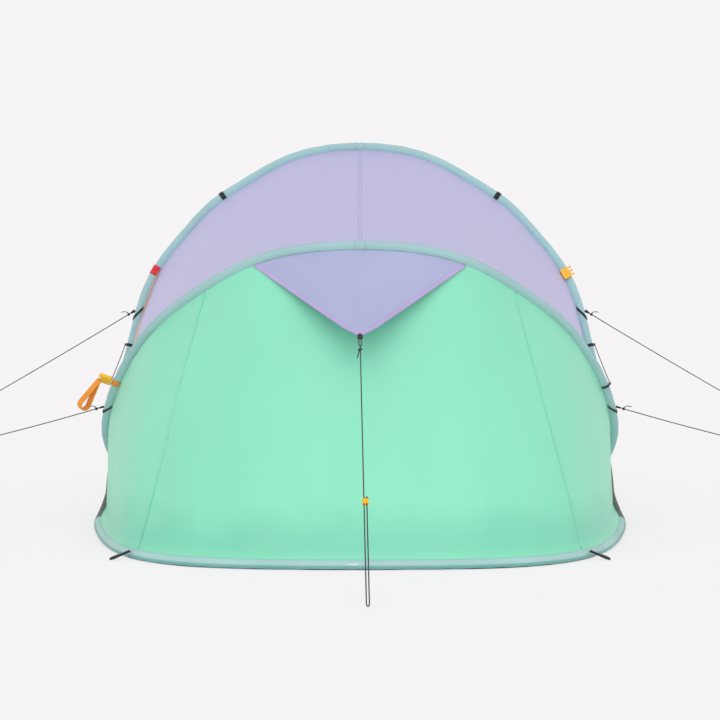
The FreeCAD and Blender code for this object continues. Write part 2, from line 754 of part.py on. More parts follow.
def roof_point(u, v, height):
    """A point over the roof cloth: along the arches, across from the tall one, and above it."""
    a, b = tall_arch_edge(-seam_lift)(u), low_arch_edge(seam_lift)(u)
    step = 0.004
    run = tall_arch_edge(-seam_lift)(u + step) - tall_arch_edge(-seam_lift)(u - step)
    normal = run.cross(b - a).normalize()
    spot = a + (b - a) * v
    if normal.dot(spot - Vector(0, spot.y, 300)) < 0:
        normal = normal * -1
    return spot + normal * (height + roof_swell * 4 * v * (1 - v))


point, _, out, across = tall.frame(red_t)
tag_foot = point - out * (0.6 * tape_half) - across * (sleeve_half + 2 * webbing + seat)
ribbon_points = [tag_foot]
ribbon_points += [roof_point(red_share + (ribbon_end_share - red_share) * down, over, ribbon_lift)
                  for down, over in RIBBON_ROUTE]
feature("pull_ribbon", cord_tube(ribbon_points, size("ribbon_thickness")))


# ---------------------------------------------------------------- awning over the vent, and its guy line
tip = Vector(0, -size("awning_reach"), size("awning_tip_height"))


def arch_at_side(hoop, x):
    """Parameter on the right of an arch where the rod is a distance from the middle."""
    low_t, high_t = hoop.crossing, hoop.top
    for _ in range(40):
        middle = (low_t + high_t) / 2
        if hoop.curve.value(middle).x > x or hoop.curve.value(middle).z < 0.4 * hoop.height:
            low_t = middle
        else:
            high_t = middle
    return low_t


awning_lift = seam_lift + fabric + 3.5
awning_start = arch_at_side(low, size("awning_half_width"))
awning_end = low.end - awning_start
tip_half = size("webbing_width") / 2


def awning_top(u):
    t = awning_start + (awning_end - awning_start) * u
    return low.edge(t, 3 * seat, -awning_lift)


def awning_foot(u):
    return tip + Vector(tip_half * (1 - 2 * u), 0, 0)


feature("vent_awning", skin(awning_top, awning_foot, 0.0, 1.0, 13, 5, -10.0))

line_foot = Vector(14.0, -size("rear_guy_foot"), 4.0)
knot_drop = 48.0                # from the awning's tip to the knot, along the line
tab_height = size("webbing_width")
rear_guy = size("rear_guy_diameter")
line_way = (line_foot - tip).normalize()
tab_start = tip + line_way * (2 * seat)
across_line = Vector(1, 0, 0)
line_normal = line_way.cross(across_line).normalize()

tip_tab = make_body("awning_tip_tab")
sketch = sketch_on(tip_tab, "tip_tab_outline")
add_rectangle(sketch, "<<sizes>>.webbing_width", "<<sizes>>.webbing_width")
pad(tip_tab, sketch, "<<sizes>>.webbing_thickness", "tip_tab_strip")
tip_tab.Placement = axes_placement(tab_start + line_way * (tab_height / 2), across_line, line_normal)
keep(tip_tab, "awning_tip_tab")

# The loop of line on the tab ends in a knot; below it one strand runs to the peg and back up.
strand = size("strand_spacing")
loop_half = 1.0 * rear_guy
loop_top = tab_start + line_way * (tab_height + seat + rear_guy / 2)
knot_at = tip + line_way * knot_drop


def racetrack(near, distant, half, across, round_both):
    """A line there and back: two strands a little apart, turning round at one or both ends."""
    way = (distant - near).normalize()
    side = across * half
    a, b = near + way * half - side, distant - way * half - side
    c, d = b + side * 2, a + side * 2
    edges = [Part.LineSegment(a, b).toShape(), Part.Arc(b, distant, c).toShape(),
             Part.LineSegment(c, d).toShape()]
    if round_both:
        edges.append(Part.Arc(d, near, a).toShape())
    return edges, a


def sweep_round(edges, start, direction, diameter):
    profile = Part.Wire([Part.makeCircle(diameter / 2, start, direction)])
    return Part.Wire(edges).makePipeShell([profile], True, False)


knot_radius = 1.6 * rear_guy
loop_foot = knot_at - line_way * (knot_radius + seat + rear_guy / 2)
edges, start = racetrack(loop_foot, loop_top, loop_half, across_line, True)
feature("awning_line_loop", sweep_round(edges, start, loop_top - loop_foot, rear_guy))
knot = doc.addObject("Part::Sphere", "loop_knot")
knot.setExpression("Radius", "<<sizes>>.rear_guy_diameter * 1.6")
knot.Placement = Placement(knot_at, Rotation())

main_start = knot_at + line_way * (knot_radius + seat)
tensioner_rest = 0.62           # share of the line above the tensioner
tensioner_at = main_start + (line_foot - main_start) * tensioner_rest
half_block = size("tensioner_length") / 2
bend_way = across_line
turn_end = bend_way * strand
turn = strand / 2
turn_mid = (line_way + bend_way) * turn
return_end = tensioner_at - line_way * (half_block + 2 * seat)
foot_mid = line_foot - line_way * turn
edges = [Part.LineSegment(main_start, foot_mid).toShape(),
         Part.Arc(foot_mid, foot_mid + turn_mid, foot_mid + turn_end).toShape(),
         Part.LineSegment(foot_mid + bend_way * strand, return_end + bend_way * strand).toShape()]
feature("rear_guy_line", sweep_round(edges, main_start, line_way, rear_guy))
print("rear guy line length %.0f mm" % Part.Wire(edges).Length)
stopper = doc.addObject("Part::Sphere", "stopper_knot")
stopper.setExpression("Radius", "<<sizes>>.rear_guy_diameter * 0.9")
stopper.Placement = Placement(return_end + bend_way * strand - line_way * (rear_guy * 0.9 + seat), Rotation())
knots = doc.addObject("Part::Compound", "knots_of_the_line")
knots.Links = [knot, stopper]
keep(knots, "rear_guy_knots")

tensioner = make_body("line_tensioner")
sketch = sketch_on(tensioner, "tensioner_block_outline")
add_rectangle(sketch, "<<sizes>>.tensioner_width", "<<sizes>>.tensioner_thickness")
block = pad(tensioner, sketch, "<<sizes>>.tensioner_length", "tensioner_block")
rounded = fillet_along(tensioner, block, Vector(0, 0, 1), "<<sizes>>.tensioner_corner", "tensioner_rounding")
sketch = sketch_on(tensioner, "tensioner_bores")
for place in ("-<<sizes>>.strand_spacing / 2", "<<sizes>>.strand_spacing / 2"):
    add_circle(sketch, "<<sizes>>.rear_guy_diameter / 2 + <<sizes>>.seat_gap", place)
pocket_through(tensioner, sketch, "tensioner_bore_pair")
tensioner.Placement = axes_placement(tensioner_at + bend_way * turn, across_line, line_way)
keep(tensioner, "line_tensioner")


# ---------------------------------------------------------------- buckles, handle and ribbon
def buckle_shell(label):
    """A side-release buckle half: a rounded block, hollow, with a slot for its webbing."""
    shell = make_body(label)
    outline_sketch = sketch_on(shell, label + "_outline")
    add_rectangle(outline_sketch, "<<sizes>>.buckle_length", "<<sizes>>.buckle_width")
    base = pad(shell, outline_sketch, "<<sizes>>.buckle_thickness", label + "_block")
    fillet_along(shell, base, Vector(0, 0, 1), "<<sizes>>.buckle_corner", label + "_corners")
    hollow_sketch = sketch_on(shell, label + "_mouth", "YZ_Plane")
    add_rectangle(hollow_sketch, "<<sizes>>.buckle_width - 2 * <<sizes>>.buckle_wall",
                  "<<sizes>>.buckle_thickness - 2 * <<sizes>>.buckle_wall")
    mouth = shell.newObject("PartDesign::Pocket", label + "_cavity")
    mouth.Profile = hollow_sketch
    mouth.Type = "Length"
    mouth.setExpression("Length", "<<sizes>>.buckle_length / 2 + 1")
    mouth.Reversed = True
    slot_sketch = sketch_on(shell, label + "_slot_outline")
    add_rectangle(slot_sketch, "<<sizes>>.webbing_thickness * 2",
                  "<<sizes>>.buckle_width - 4 * <<sizes>>.buckle_wall",
                  ("-<<sizes>>.buckle_length / 2 + <<sizes>>.buckle_wall",
                   "-<<sizes>>.buckle_width / 2 + 2 * <<sizes>>.buckle_wall"))
    pocket_through(shell, slot_sketch, label + "_webbing_slot")
    return shell


BUCKLE_HEIGHT = 412.0
left_t = arch_at_height(low, BUCKLE_HEIGHT, -1)
point, along, out, across = low.frame(left_t)
buckle_bands = [wrap(low, left_t, size("buckle_band_width"))]
pull_way = (out + Vector(0, 0, -0.1)).normalize()
buckle_root = point + out * (tape_half + 3 * wrap_gap + webbing + 3.5 * seat)
buckle_at = buckle_root + pull_way * (size("buckle_length") / 2)
socket = buckle_shell("socket_buckle")
socket.Placement = axes_placement(buckle_at, pull_way * -1, across)
keep(socket, "socket_buckle")

handle_way = Vector(-0.74, -0.12, -0.66).normalize()
handle_plane = Vector(0, 1, 0)
handle_plane = (handle_plane - handle_way * handle_plane.dot(handle_way)).normalize()


def teardrop(length, radius):
    """The outline of a strap loop lying in its own plane: straight sides meeting at the root."""
    lean = math.asin(radius / length)
    touch = Vector(length * math.cos(lean) ** 2, length * math.cos(lean) * math.sin(lean), 0)
    root = Vector(0, 0, 0)
    edges = [Part.LineSegment(root, touch).toShape(),
             Part.Arc(touch, Vector(length + radius, 0, 0), Vector(touch.x, -touch.y, 0)).toShape(),
             Part.LineSegment(Vector(touch.x, -touch.y, 0), root).toShape()]
    return Part.Wire(edges)


def strap_loop(length, radius, wall, width):
    """A loop of strap: its outline less the same outline drawn a wall's thickness inside."""
    outer = teardrop(length, radius)
    inner = teardrop(length - 3 * wall, radius - wall)
    inner.translate(Vector(3 * wall, 0, 0))
    face = Part.makeFace([outer, inner], "Part::FaceMakerBullseye")
    face.translate(Vector(0, 0, -width / 2))
    return face.extrude(Vector(0, 0, width))


buckle_back = buckle_at + pull_way * (size("buckle_length") / 2 + seat)
handle = strap_loop(size("handle_length"), size("handle_radius"), size("handle_strap"),
                    size("handle_depth"))
feature("handle_loop", handle, axes_placement(buckle_back, handle_way, handle_plane))

PLUG_HEIGHT = 703.0
plug_t = arch_at_height(tall, PLUG_HEIGHT, 1)
point, along, out, across = tall.frame(plug_t)
plug_at = point - across * (sleeve_half + wrap_gap + webbing + seat + size("buckle_thickness") / 2)
plug_way = (out + Vector(0.2, 0, 0.1)).normalize()
buckle_bands.append(wrap(tall, plug_t, size("webbing_width")))
feature("buckle_webbings", Part.makeCompound(buckle_bands))
plug = make_body("plug_buckle")
sketch = sketch_on(plug, "plug_outline")
add_rectangle(sketch, "<<sizes>>.buckle_length * 0.6", "<<sizes>>.buckle_width")
block = pad(plug, sketch, "<<sizes>>.buckle_thickness", "plug_block")
fillet_along(plug, block, Vector(0, 0, 1), "<<sizes>>.buckle_corner", "plug_corners")
sketch = sketch_on(plug, "plug_prong_outline")
edge_place = "<<sizes>>.buckle_length * 0.3 - 1"
for place in ("-<<sizes>>.buckle_width / 2 + 1", "-<<sizes>>.prong_width / 2",
              "<<sizes>>.buckle_width / 2 - <<sizes>>.prong_width - 1"):
    add_rectangle(sketch, "<<sizes>>.prong_length", "<<sizes>>.prong_width", (edge_place, place))
pad(plug, sketch, "<<sizes>>.prong_thickness", "plug_prongs")
plug.Placement = axes_placement(plug_at, plug_way, across)
keep(plug, "plug_buckle")

# ---------------------------------------------------------------- peg loops on the floor's corners
PEG_CORNERS = {"low_end": (tall, 585.0, -1), "door_end": (low, 585.0, 1)}
for name, (hoop, corner_x, way) in PEG_CORNERS.items():
    loops = []
    for side in (1, -1):
        low_t, high_t = 0.0, hoop.crossing * 0.8
        for _ in range(40):
            middle = (low_t + high_t) / 2
            if hoop.curve.value(middle).x < corner_x:
                low_t = middle
            else:
                high_t = middle
        point, _, _, across = hoop.frame(low_t)
        outward = Vector(across.x, across.y, 0).normalize() * (-1 if hoop is tall else 1)
        away = (outward + Vector(0, 1.2 * way, 0)).normalize()
        strap = strap_loop(size("peg_loop_length"), size("peg_loop_radius"),
                           size("peg_loop_strap"), size("peg_loop_cord"))
        foot = Vector(point.x, point.y, 0) + outward * sheet_gap
        foot.z = size("peg_loop_cord") / 2 + seat
        strap.Placement = axes_placement(foot, away, Vector(0, 0, 1))
        if side < 0:
            strap = strap.mirror(Vector(0, 0, 0), Vector(1, 0, 0))
        loops.append(strap)
    feature("peg_loops_" + name, Part.makeCompound(loops))


# ---------------------------------------------------------------- zips of the two doors
def surface_point(solid, x, z, outer):
    """Where a line along Y meets a wall of the door end: its outer or its inner face."""
    line = Part.makeLine(Vector(x, 0, z), Vector(x, far, z))
    hits = [v.Point.y for v in solid.common(line).Vertexes]
    return Vector(x, max(hits) if outer else min(hits), z)


tape = size("zip_tape_width") / 2
coil = size("zip_coil_diameter")


def zip_half(base, foot, top, first, last, edges):
    """Half a zip: a flat strip on a wall beside a leaning seam, between two heights."""
    foot_half, top_half = foot
    low_z, high_z = top
    corners = []
    for z in (first, last):
        seam = leaning_half(foot_half, top_half, low_z, high_z, z)
        corners.append((seam, z))
    outline = [Vector(corners[0][0] + edges[0], 0, first), Vector(corners[0][0] + edges[1], 0, first),
               Vector(corners[1][0] + edges[1], 0, last), Vector(corners[1][0] + edges[0], 0, last)]
    wedge = Part.Face(Part.makePolygon(outline + outline[:1])).extrude(Vector(0, far, 0))
    return base.common(wedge)


zip_lift = fabric / 2 + seat + coil / 2 * 0.5
coil_wall = coil / 2
outer_zip_skin = skin(tall_arch_edge(seam_lift), low_floor_edge(), skin_start, 1 - skin_start,
                      skin_columns, 5, 0.0, zip_lift, coil_wall)
outer_seam = (size("door_foot_half_width"), size("door_top_half_width"))
outer_heights = (size("door_foot_height"), size("door_top_height"))
zip_below_door = 26.0           # how far a zip runs on under its door
slider_below_door = 14.0
zip_foot = outer_heights[0] - zip_below_door
zip_gap = seat
feature("outer_zip_fixed_half", zip_half(outer_zip_skin, outer_seam, outer_heights, zip_foot,
                                         outer_heights[1], (zip_gap, tape)))
feature("outer_zip_door_half", zip_half(outer_zip_skin, outer_seam, outer_heights, outer_heights[0],
                                        outer_heights[1] - size("door_top_gap"), (-tape, -zip_gap)))

inner_zip_lift = -zip_lift
inner_zip_skin = skin(tall_arch_edge(inner_seam_lift, inner_inward), floor_foot(low, -1),
                      inner_start, 1 - inner_start, inner_columns, 5, 0.0, inner_zip_lift, coil_wall)
inner_seam = (size("inner_door_foot_half_width"), size("inner_door_top_half_width"))
inner_heights = (size("inner_door_foot_height"), size("inner_door_top_height"))
inner_zip_foot = inner_heights[0] - zip_below_door
feature("inner_zip_fixed_half", zip_half(inner_zip_skin, inner_seam, inner_heights, inner_zip_foot,
                                         inner_heights[1], (zip_gap, tape)))
feature("inner_zip_door_half", zip_half(inner_zip_skin, inner_seam, inner_heights,
                                        inner_heights[0] + door_gap, inner_heights[1] - door_gap,
                                        (-tape, -zip_gap)))


def zip_slider(label, solid, seam, heights, park_z, outer, stand_off):
    """A slider parked at the foot of its zip, with the way it travels and its puller."""
    low_z, high_z = heights
    foot_x = leaning_half(seam[0], seam[1], low_z, high_z, park_z)
    foot = surface_point(solid, foot_x, park_z, outer)
    top = surface_point(solid, seam[1], high_z, outer)
    beside = surface_point(solid, foot_x - 30, park_z, outer)
    normal = (top - foot).cross(beside - foot).normalize()
    if (normal.y > 0) != outer:
        normal = normal * -1
    way = (top + normal * slider_rise - foot).normalize()
    normal = (normal - way * normal.dot(way)).normalize()
    slider = make_body(label)
    plate = sketch_on(slider, label + "_outline")
    add_rectangle(plate, "<<sizes>>.slider_length", "<<sizes>>.slider_width")
    base = pad(slider, plate, "<<sizes>>.slider_height", label + "_block")
    fillet_along(slider, base, Vector(0, 0, 1), "<<sizes>>.slider_width / 4", label + "_corners")
    centre = foot + normal * (stand_off + size("slider_height") / 2)
    slider.Placement = axes_placement(centre, way, normal)
    keep(slider, label)
    print(label, "travels", tuple(round(c, 4) for c in way), "for", round((top - foot).Length, 1))
    return centre, way, normal


SLIDER_STAND_OFF = 2.4
slider_rise = 2.6               # further off the wall at the top of its run, to clear the swell
outer_slider = zip_slider("outer_zip_slider", door_end, outer_seam, outer_heights,
                          outer_heights[0] - slider_below_door, True, SLIDER_STAND_OFF)
inner_slider = zip_slider("inner_zip_slider", inner_door_wall, inner_seam, inner_heights,
                          inner_heights[0] - slider_below_door, False, SLIDER_STAND_OFF)

centre, way, normal = outer_slider
puller = make_body("outer_zip_puller")
sketch = sketch_on(puller, "puller_outline")
add_rectangle(sketch, "<<sizes>>.slider_length * 1.6", "<<sizes>>.slider_width * 0.6")
block = pad(puller, sketch, "<<sizes>>.webbing_thickness", "puller_plate")
fillet_along(puller, block, Vector(0, 0, 1), "<<sizes>>.slider_width * 0.2", "puller_corners")
sketch = sketch_on(puller, "puller_hole")
add_circle(sketch, "<<sizes>>.slider_width * 0.15", "<<sizes>>.slider_length * 0.65")
pocket_through(puller, sketch, "puller_eye")
puller_at = centre + normal * (size("slider_height") / 2 + seat + webbing / 2)
puller.Placement = axes_placement(puller_at, way, normal)
keep(puller, "outer_zip_puller")

# ---------------------------------------------------------------- check and write
doc.recompute()
for item in doc.Objects:
    if "Invalid" in item.State or "Error" in item.State:
        raise RuntimeError("%s failed: %s" % (item.Label, item.State))
if len(parts) > 60:
    raise RuntimeError("too many pieces: %d" % len(parts))

os.makedirs("parts", exist_ok=True)
for item in parts:
    if item.Shape.isNull() or not item.Shape.isValid() or not item.Shape.Solids:
        raise RuntimeError("%s has no valid solid" % item.Label)
    item.Shape.exportStep("parts/%s.step" % item.Label)
    print("%-26s %2d solids %12.0f mm3" % (item.Label, len(item.Shape.Solids), item.Shape.Volume))
print(len(parts), "pieces")
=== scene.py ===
import math

import bmesh
import bpy
import numpy as np
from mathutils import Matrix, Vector, noise


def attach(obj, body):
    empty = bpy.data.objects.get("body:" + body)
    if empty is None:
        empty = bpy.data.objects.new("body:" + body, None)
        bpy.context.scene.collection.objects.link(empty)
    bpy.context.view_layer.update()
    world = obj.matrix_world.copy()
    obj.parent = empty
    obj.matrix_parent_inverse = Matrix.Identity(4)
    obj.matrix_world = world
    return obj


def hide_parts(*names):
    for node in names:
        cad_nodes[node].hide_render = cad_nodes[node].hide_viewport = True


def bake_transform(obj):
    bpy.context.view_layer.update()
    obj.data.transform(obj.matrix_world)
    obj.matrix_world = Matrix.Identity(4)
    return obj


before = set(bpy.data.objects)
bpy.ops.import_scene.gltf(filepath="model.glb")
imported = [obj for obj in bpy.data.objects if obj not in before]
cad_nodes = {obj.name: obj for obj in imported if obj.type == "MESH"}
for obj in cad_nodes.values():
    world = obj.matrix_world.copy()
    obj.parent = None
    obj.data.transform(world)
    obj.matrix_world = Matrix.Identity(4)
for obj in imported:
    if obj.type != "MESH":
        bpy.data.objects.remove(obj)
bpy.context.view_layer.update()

# ---- Sprung hoops ------------------------------------------------------------------------------
# Two closed rings of 6 mm glass fibre rod, each in two lengths joined by metal ferrules. Each ring
# lies on the ground round one end of the floor and rises into an arch, and the two rings cross.
# Rows run from the floor's middle to the arch's top on the right, as shares of the sizes in metres.
HALF_WIDTH = 0.7445
TAPE_WIDTH = 0.024
ROD_HEIGHT = 0.002 + TAPE_WIDTH / 2
LEVEL = np.array([1.0, 1.0, 0.0])
UPRIGHT = np.array([0.0, 0.0, 1.0])
STANDING_SHARE = 0.09           # share of a hoop's height above which its tape faces outwards
EYE_SHARE = 0.30                # share of its height from which the tape's way out spreads
FLOOR_SPLAY, SIDE_SPLAY = 0.30, 1.00
SIDES_FROM, SIDES_FULL = 0.60, 0.72     # half widths between which the side splay comes in
TWIST_IN, TWIST_OUT = (0.035, 0.09), (0.20, 0.34)   # heights where the twist comes and goes
LOW_END_FLOOR = [(0.0, 1.0), (0.27, 0.992), (0.52, 0.951), (0.66, 0.888), (0.786, 0.765),
                 (0.871, 0.593), (0.945, 0.325), (0.980, 0.150)]
TALL_ARCH = [(0.993, -0.200, 0.013), (0.997, 0.0, 0.016), (0.990, 0.140, 0.030),
             (0.980, 0.230, 0.052), (0.970, 0.335, 0.116), (0.953, 0.400, 0.195),
             (0.925, 0.510, 0.360), (0.886, 0.600, 0.480), (0.832, 0.690, 0.615),
             (0.751, 0.780, 0.711), (0.676, 0.830, 0.773), (0.588, 0.875, 0.838),
             (0.454, 0.930, 0.902), (0.281, 0.975, 0.967), (0.0, 1.0, 1.0)]
DOOR_END_FLOOR = [(0.0, 1.0), (0.27, 0.990), (0.52, 0.950), (0.68, 0.880), (0.80, 0.770),
                  (0.885, 0.610), (0.945, 0.430)]
LOW_ARCH = [(0.962, 0.590, 0.0165), (0.972, 0.450, 0.0235), (0.962, 0.333, 0.046),
            (0.943, 0.222, 0.096), (0.930, 0.122, 0.159), (0.942, 0.020, 0.235),
            (0.956, -0.055, 0.292), (0.936, -0.232, 0.425), (0.852, -0.449, 0.587),
            (0.717, -0.657, 0.743), (0.537, -0.822, 0.866), (0.338, -0.946, 0.959),
            (0.0, -1.0, 1.0)]


def unit(v):
    return v / np.linalg.norm(v, axis=-1, keepdims=True)


def dot(a, b):
    return np.sum(a * b, axis=-1, keepdims=True)


def across_of(v, along):
    """The part of v that lies across a direction, as a unit."""
    return unit(v - along * dot(v, along))


def eased(value, low_end, high_end):
    """0 below one value, 1 above the other, and smooth between them."""
    share = np.clip((value - low_end) / (high_end - low_end), 0, 1)
    return share * share * (3 - 2 * share)


class SprungHoop:
    """A closed ring of rod as a smooth line, with the way its tape faces at each place."""

    def __init__(self, floor, arch, crossing_row, floor_length, floor_side, reach, height, twist):
        right = [(HALF_WIDTH * x, floor_side * floor_length * y, ROD_HEIGHT) for x, y in floor]
        right += [(HALF_WIDTH * x, reach * y, max(ROD_HEIGHT, height * z)) for x, y, z in arch]
        left = [(-x, y, z) for x, y, z in reversed(right[1:-1])]
        self.points = np.array(right + left)
        around = np.vstack([self.points, self.points[:1]])
        steps = np.linalg.norm(np.diff(around, axis=0), axis=1)
        self.knots = np.concatenate([[0.0], np.cumsum(steps)])
        count = len(self.points)
        system = np.zeros((count, count))
        rates = np.zeros((count, 3))
        for k in range(count):
            before, after = steps[k - 1], steps[k]
            system[k, k - 1] += before
            system[k, k] += 2 * (before + after)
            system[k, (k + 1) % count] += after
            rates[k] = 6 * ((around[k + 1] - around[k]) / after
                            - (around[k] - self.points[k - 1]) / before)
        bends = np.linalg.solve(system, rates)
        self.bends = np.vstack([bends, bends[:1]])
        self.around, self.steps, self.end = around, steps, self.knots[-1]
        self.top = self.knots[len(right) - 1]
        self.crossing = self.knots[len(floor) + crossing_row]
        self.height, self.twist = height, twist

    def at(self, t):
        """Points and tangents of the rod's centre line at distances round the ring."""
        t = np.mod(np.asarray(t, float), self.end)
        k = np.clip(np.searchsorted(self.knots, t, side="right") - 1, 0, len(self.steps) - 1)
        h = self.steps[k][..., None]
        a = ((self.knots[k + 1] - t)[..., None]) / h
        b = 1 - a
        p, q = self.around[k], self.around[k + 1]
        m, n = self.bends[k], self.bends[k + 1]
        point = a * p + b * q + ((a ** 3 - a) * m + (b ** 3 - b) * n) * h * h / 6
        along = (q - p) / h + (-(3 * a * a - 1) * m + (3 * b * b - 1) * n) * h / 6
        return point, unit(along)

    def frame(self, t):
        """Point, tangent, the way out to the tape's folded edge, and the way across the tape."""
        point, along = self.at(t)
        height = point[..., 2:]
        rise = eased(height, ROD_HEIGHT, ROD_HEIGHT + STANDING_SHARE * self.height)
        radial = across_of(point * (1, 0, 1) - EYE_SHARE * self.height * UPRIGHT, along)
        splay = FLOOR_SPLAY + SIDE_SPLAY * eased(np.abs(point[..., :1]), SIDES_FROM, SIDES_FULL)
        down = across_of(point * LEVEL, along) * LEVEL * splay - UPRIGHT
        out = across_of(radial * rise + down * (1 - rise), along)
        side = unit(np.cross(along, out))
        turned = self.twist * eased(height, *TWIST_IN) * (1 - eased(height, *TWIST_OUT))
        sine, cosine = np.sin(turned), np.cos(turned)
        return point, along, out * cosine + side * sine, side * cosine - out * sine

    def arch(self, u):
        return self.crossing + np.asarray(u, float) * (self.end - 2 * self.crossing)

    def base(self, u):
        return self.crossing * (1 - 2 * np.asarray(u, float))

    def edge(self, t, inward, across=0.0):
        """Where cloth is sewn: off the tape's seam edge, and across it towards the door."""
        point, _, out, side = self.frame(t)
        return point - out * (TAPE_WIDTH / 2 + inward) + side * across


tall = SprungHoop(LOW_END_FLOOR, TALL_ARCH, 4, 1.062, -1, 0.284, 1.076, 1.0)
low = SprungHoop(DOOR_END_FLOOR, LOW_ARCH, 4, 1.245, 1, 0.765, 0.784, 0.0)


def colour(red, green, blue):
    """A screen colour of 0 to 255 as the linear colour that a shader takes."""
    def linear(c):
        c = c / 255
        return c / 12.92 if c <= 0.04045 else ((c + 0.055) / 1.055) ** 2.4
    return (linear(red), linear(green), linear(blue), 1.0)


def fill(item, inputs):
    """Gives a node's inputs their values; a value that is a socket is linked."""
    for key, value in inputs.items():
        if isinstance(value, bpy.types.NodeSocket):
            item.id_data.links.new(value, item.inputs[key])
        else:
            item.inputs[key].default_value = value


def node_maker(tree):
    """A function that adds a node to a tree, with its settings and its inputs."""
    def node(kind, inputs=None, **settings):
        item = tree.nodes.new(kind)
        for key, value in settings.items():
            setattr(item, key, value)
        fill(item, inputs or {})
        return item
    return node


def new_material(name):
    """An empty material with its surface shader, and a maker of further nodes."""
    made = bpy.data.materials.new(name)
    made.use_nodes = True
    return made, made.node_tree.nodes["Principled BSDF"], node_maker(made.node_tree)


def new_effect(name, inputs, outputs):
    """An empty shader group with named sockets, and a maker of its nodes."""
    group = bpy.data.node_groups.new(name, "ShaderNodeTree")
    for label, kind, value in inputs:
        socket = group.interface.new_socket(label, in_out="INPUT", socket_type=kind)
        if value is not None:
            socket.default_value = value
    for label, kind in outputs:
        group.interface.new_socket(label, in_out="OUTPUT", socket_type=kind)
    node = node_maker(group)
    return group, node("NodeGroupInput").outputs, node("NodeGroupOutput"), node


def ranged(node, value, to_low, to_high, low_end=0.0, high_end=1.0):
    """A value between two ends, stretched to lie between two others."""
    item = node("ShaderNodeMapRange", {"Value": value, "From Min": low_end, "From Max": high_end,
                                       "To Min": to_low, "To Max": to_high})
    return item.outputs["Result"]


# Colour that drifts a little from place to place, in large soft patches and fine specks.
uneven, uneven_in, uneven_out, node = new_effect(
    "uneven_tone", [("Colour", "NodeSocketColor", None), ("Patch size", "NodeSocketFloat", 3.0),
                    ("Amount", "NodeSocketFloat", 0.1)],
    [("Colour", "NodeSocketColor"), ("Mask", "NodeSocketFloat")])
place = node("ShaderNodeTexCoord")
patches = node("ShaderNodeTexNoise", {"Vector": place.outputs["Object"], "Detail": 3.0,
                                      "Scale": uneven_in["Patch size"]})
shift = ranged(node, patches.outputs["Fac"], -1.0, 1.0, 0.3, 0.7)
amount = node("ShaderNodeMath", {0: shift, 1: uneven_in["Amount"]}, operation="MULTIPLY")
level = node("ShaderNodeMath", {0: amount.outputs["Value"], 1: 1.0}, operation="ADD")
tinted = node("ShaderNodeVectorMath", {0: uneven_in["Colour"], "Scale": level.outputs["Value"]},
              operation="SCALE")
fill(uneven_out, {"Colour": tinted.outputs["Vector"], "Mask": patches.outputs["Fac"]})


def toned(node, tone, patch, drift=0.1):
    """A finish's tone, which drifts by a share of itself from patch to patch."""
    return node("ShaderNodeGroup", {"Colour": tone, "Patch size": patch, "Amount": drift},
                node_tree=uneven)


def solid_material(name, tone, patch, drift, grain, roughness, bump=None, sheen=0.0, metal=0.0):
    """A finish without a weave. Its grain, a scale and a detail, is raised by a bump's strength and
    depth, or else it drives the roughness where that is a range."""
    made, shader, node = new_material(name)
    tinted = toned(node, tone, patch, drift)
    grained = node("ShaderNodeTexNoise", {"Scale": grain[0], "Detail": grain[1]})
    if isinstance(roughness, tuple):
        worn = tinted.outputs["Mask"] if bump else grained.outputs["Fac"]
        roughness = ranged(node, worn, *roughness)
    fill(shader, {"Base Color": tinted.outputs["Colour"], "Roughness": roughness,
                  "Sheen Weight": sheen, "Metallic": metal})
    if bump:
        raised = node("ShaderNodeBump", {"Height": grained.outputs["Fac"], "Strength": bump[0],
                                         "Distance": bump[1]})
        fill(shader, {"Normal": raised.outputs["Normal"]})
    return made


def dress(material, *names):
    """Gives the part's own pieces their finish."""
    for name in names:
        cad_nodes[name].data.materials.clear()
        cad_nodes[name].data.materials.append(material)


dress(solid_material("glass_fibre_rod", colour(92, 94, 96), 40.0, 0.18, (900.0, 2.0), 0.42,
                     (0.25, 0.0002)), "tall_hoop_rod", "low_hoop_rod")
dress(solid_material("ferrule_steel", colour(188, 190, 194), 60.0, 0.08, (600.0, 3.0), (0.22, 0.42),
                     metal=1.0), "tall_hoop_ferrules", "low_hoop_ferrules")

# ---- Tape sleeves ------------------------------------------------------------------------------
# A 24 mm tape of pale woven polyester is folded over the rod and sewn shut beside it, and the cloth
# panels are sewn in at its edge. Dark heavy tape covers the hoops where they bend up at the sides.
# Rows give the folded tape's half thickness at distances out from the rod's centre, in metres.
TAPE_SECTION = [(0.0116, 0.0004), (0.0110, 0.0013), (0.0095, 0.0023), (0.0070, 0.0032),
                (0.0040, 0.0038), (0.0013, 0.0040), (-0.0013, 0.0040), (-0.0040, 0.0036),
                (-0.0068, 0.0027), (-0.0088, 0.0018), (-0.0105, 0.0010), (-0.0118, 0.0008)]
TAPE_GIRTH = 2 * sum(math.dist(a, b) for a, b in zip(TAPE_SECTION, TAPE_SECTION[1:])) + 0.0024
RIPPLE = 0.0003
TALL_BREAKS = (0.050, 0.055)
LOW_BREAKS = (0.030, 0.125)
BREAK_GAP = 0.003


def new_object(name, data):
    made = bpy.data.objects.new(name, data)
    bpy.context.scene.collection.objects.link(made)
    return made


def run_along(points):
    """Distances along a row of points, from its first."""
    return np.concatenate([[0], np.cumsum(np.linalg.norm(np.diff(points, axis=0), axis=1))])


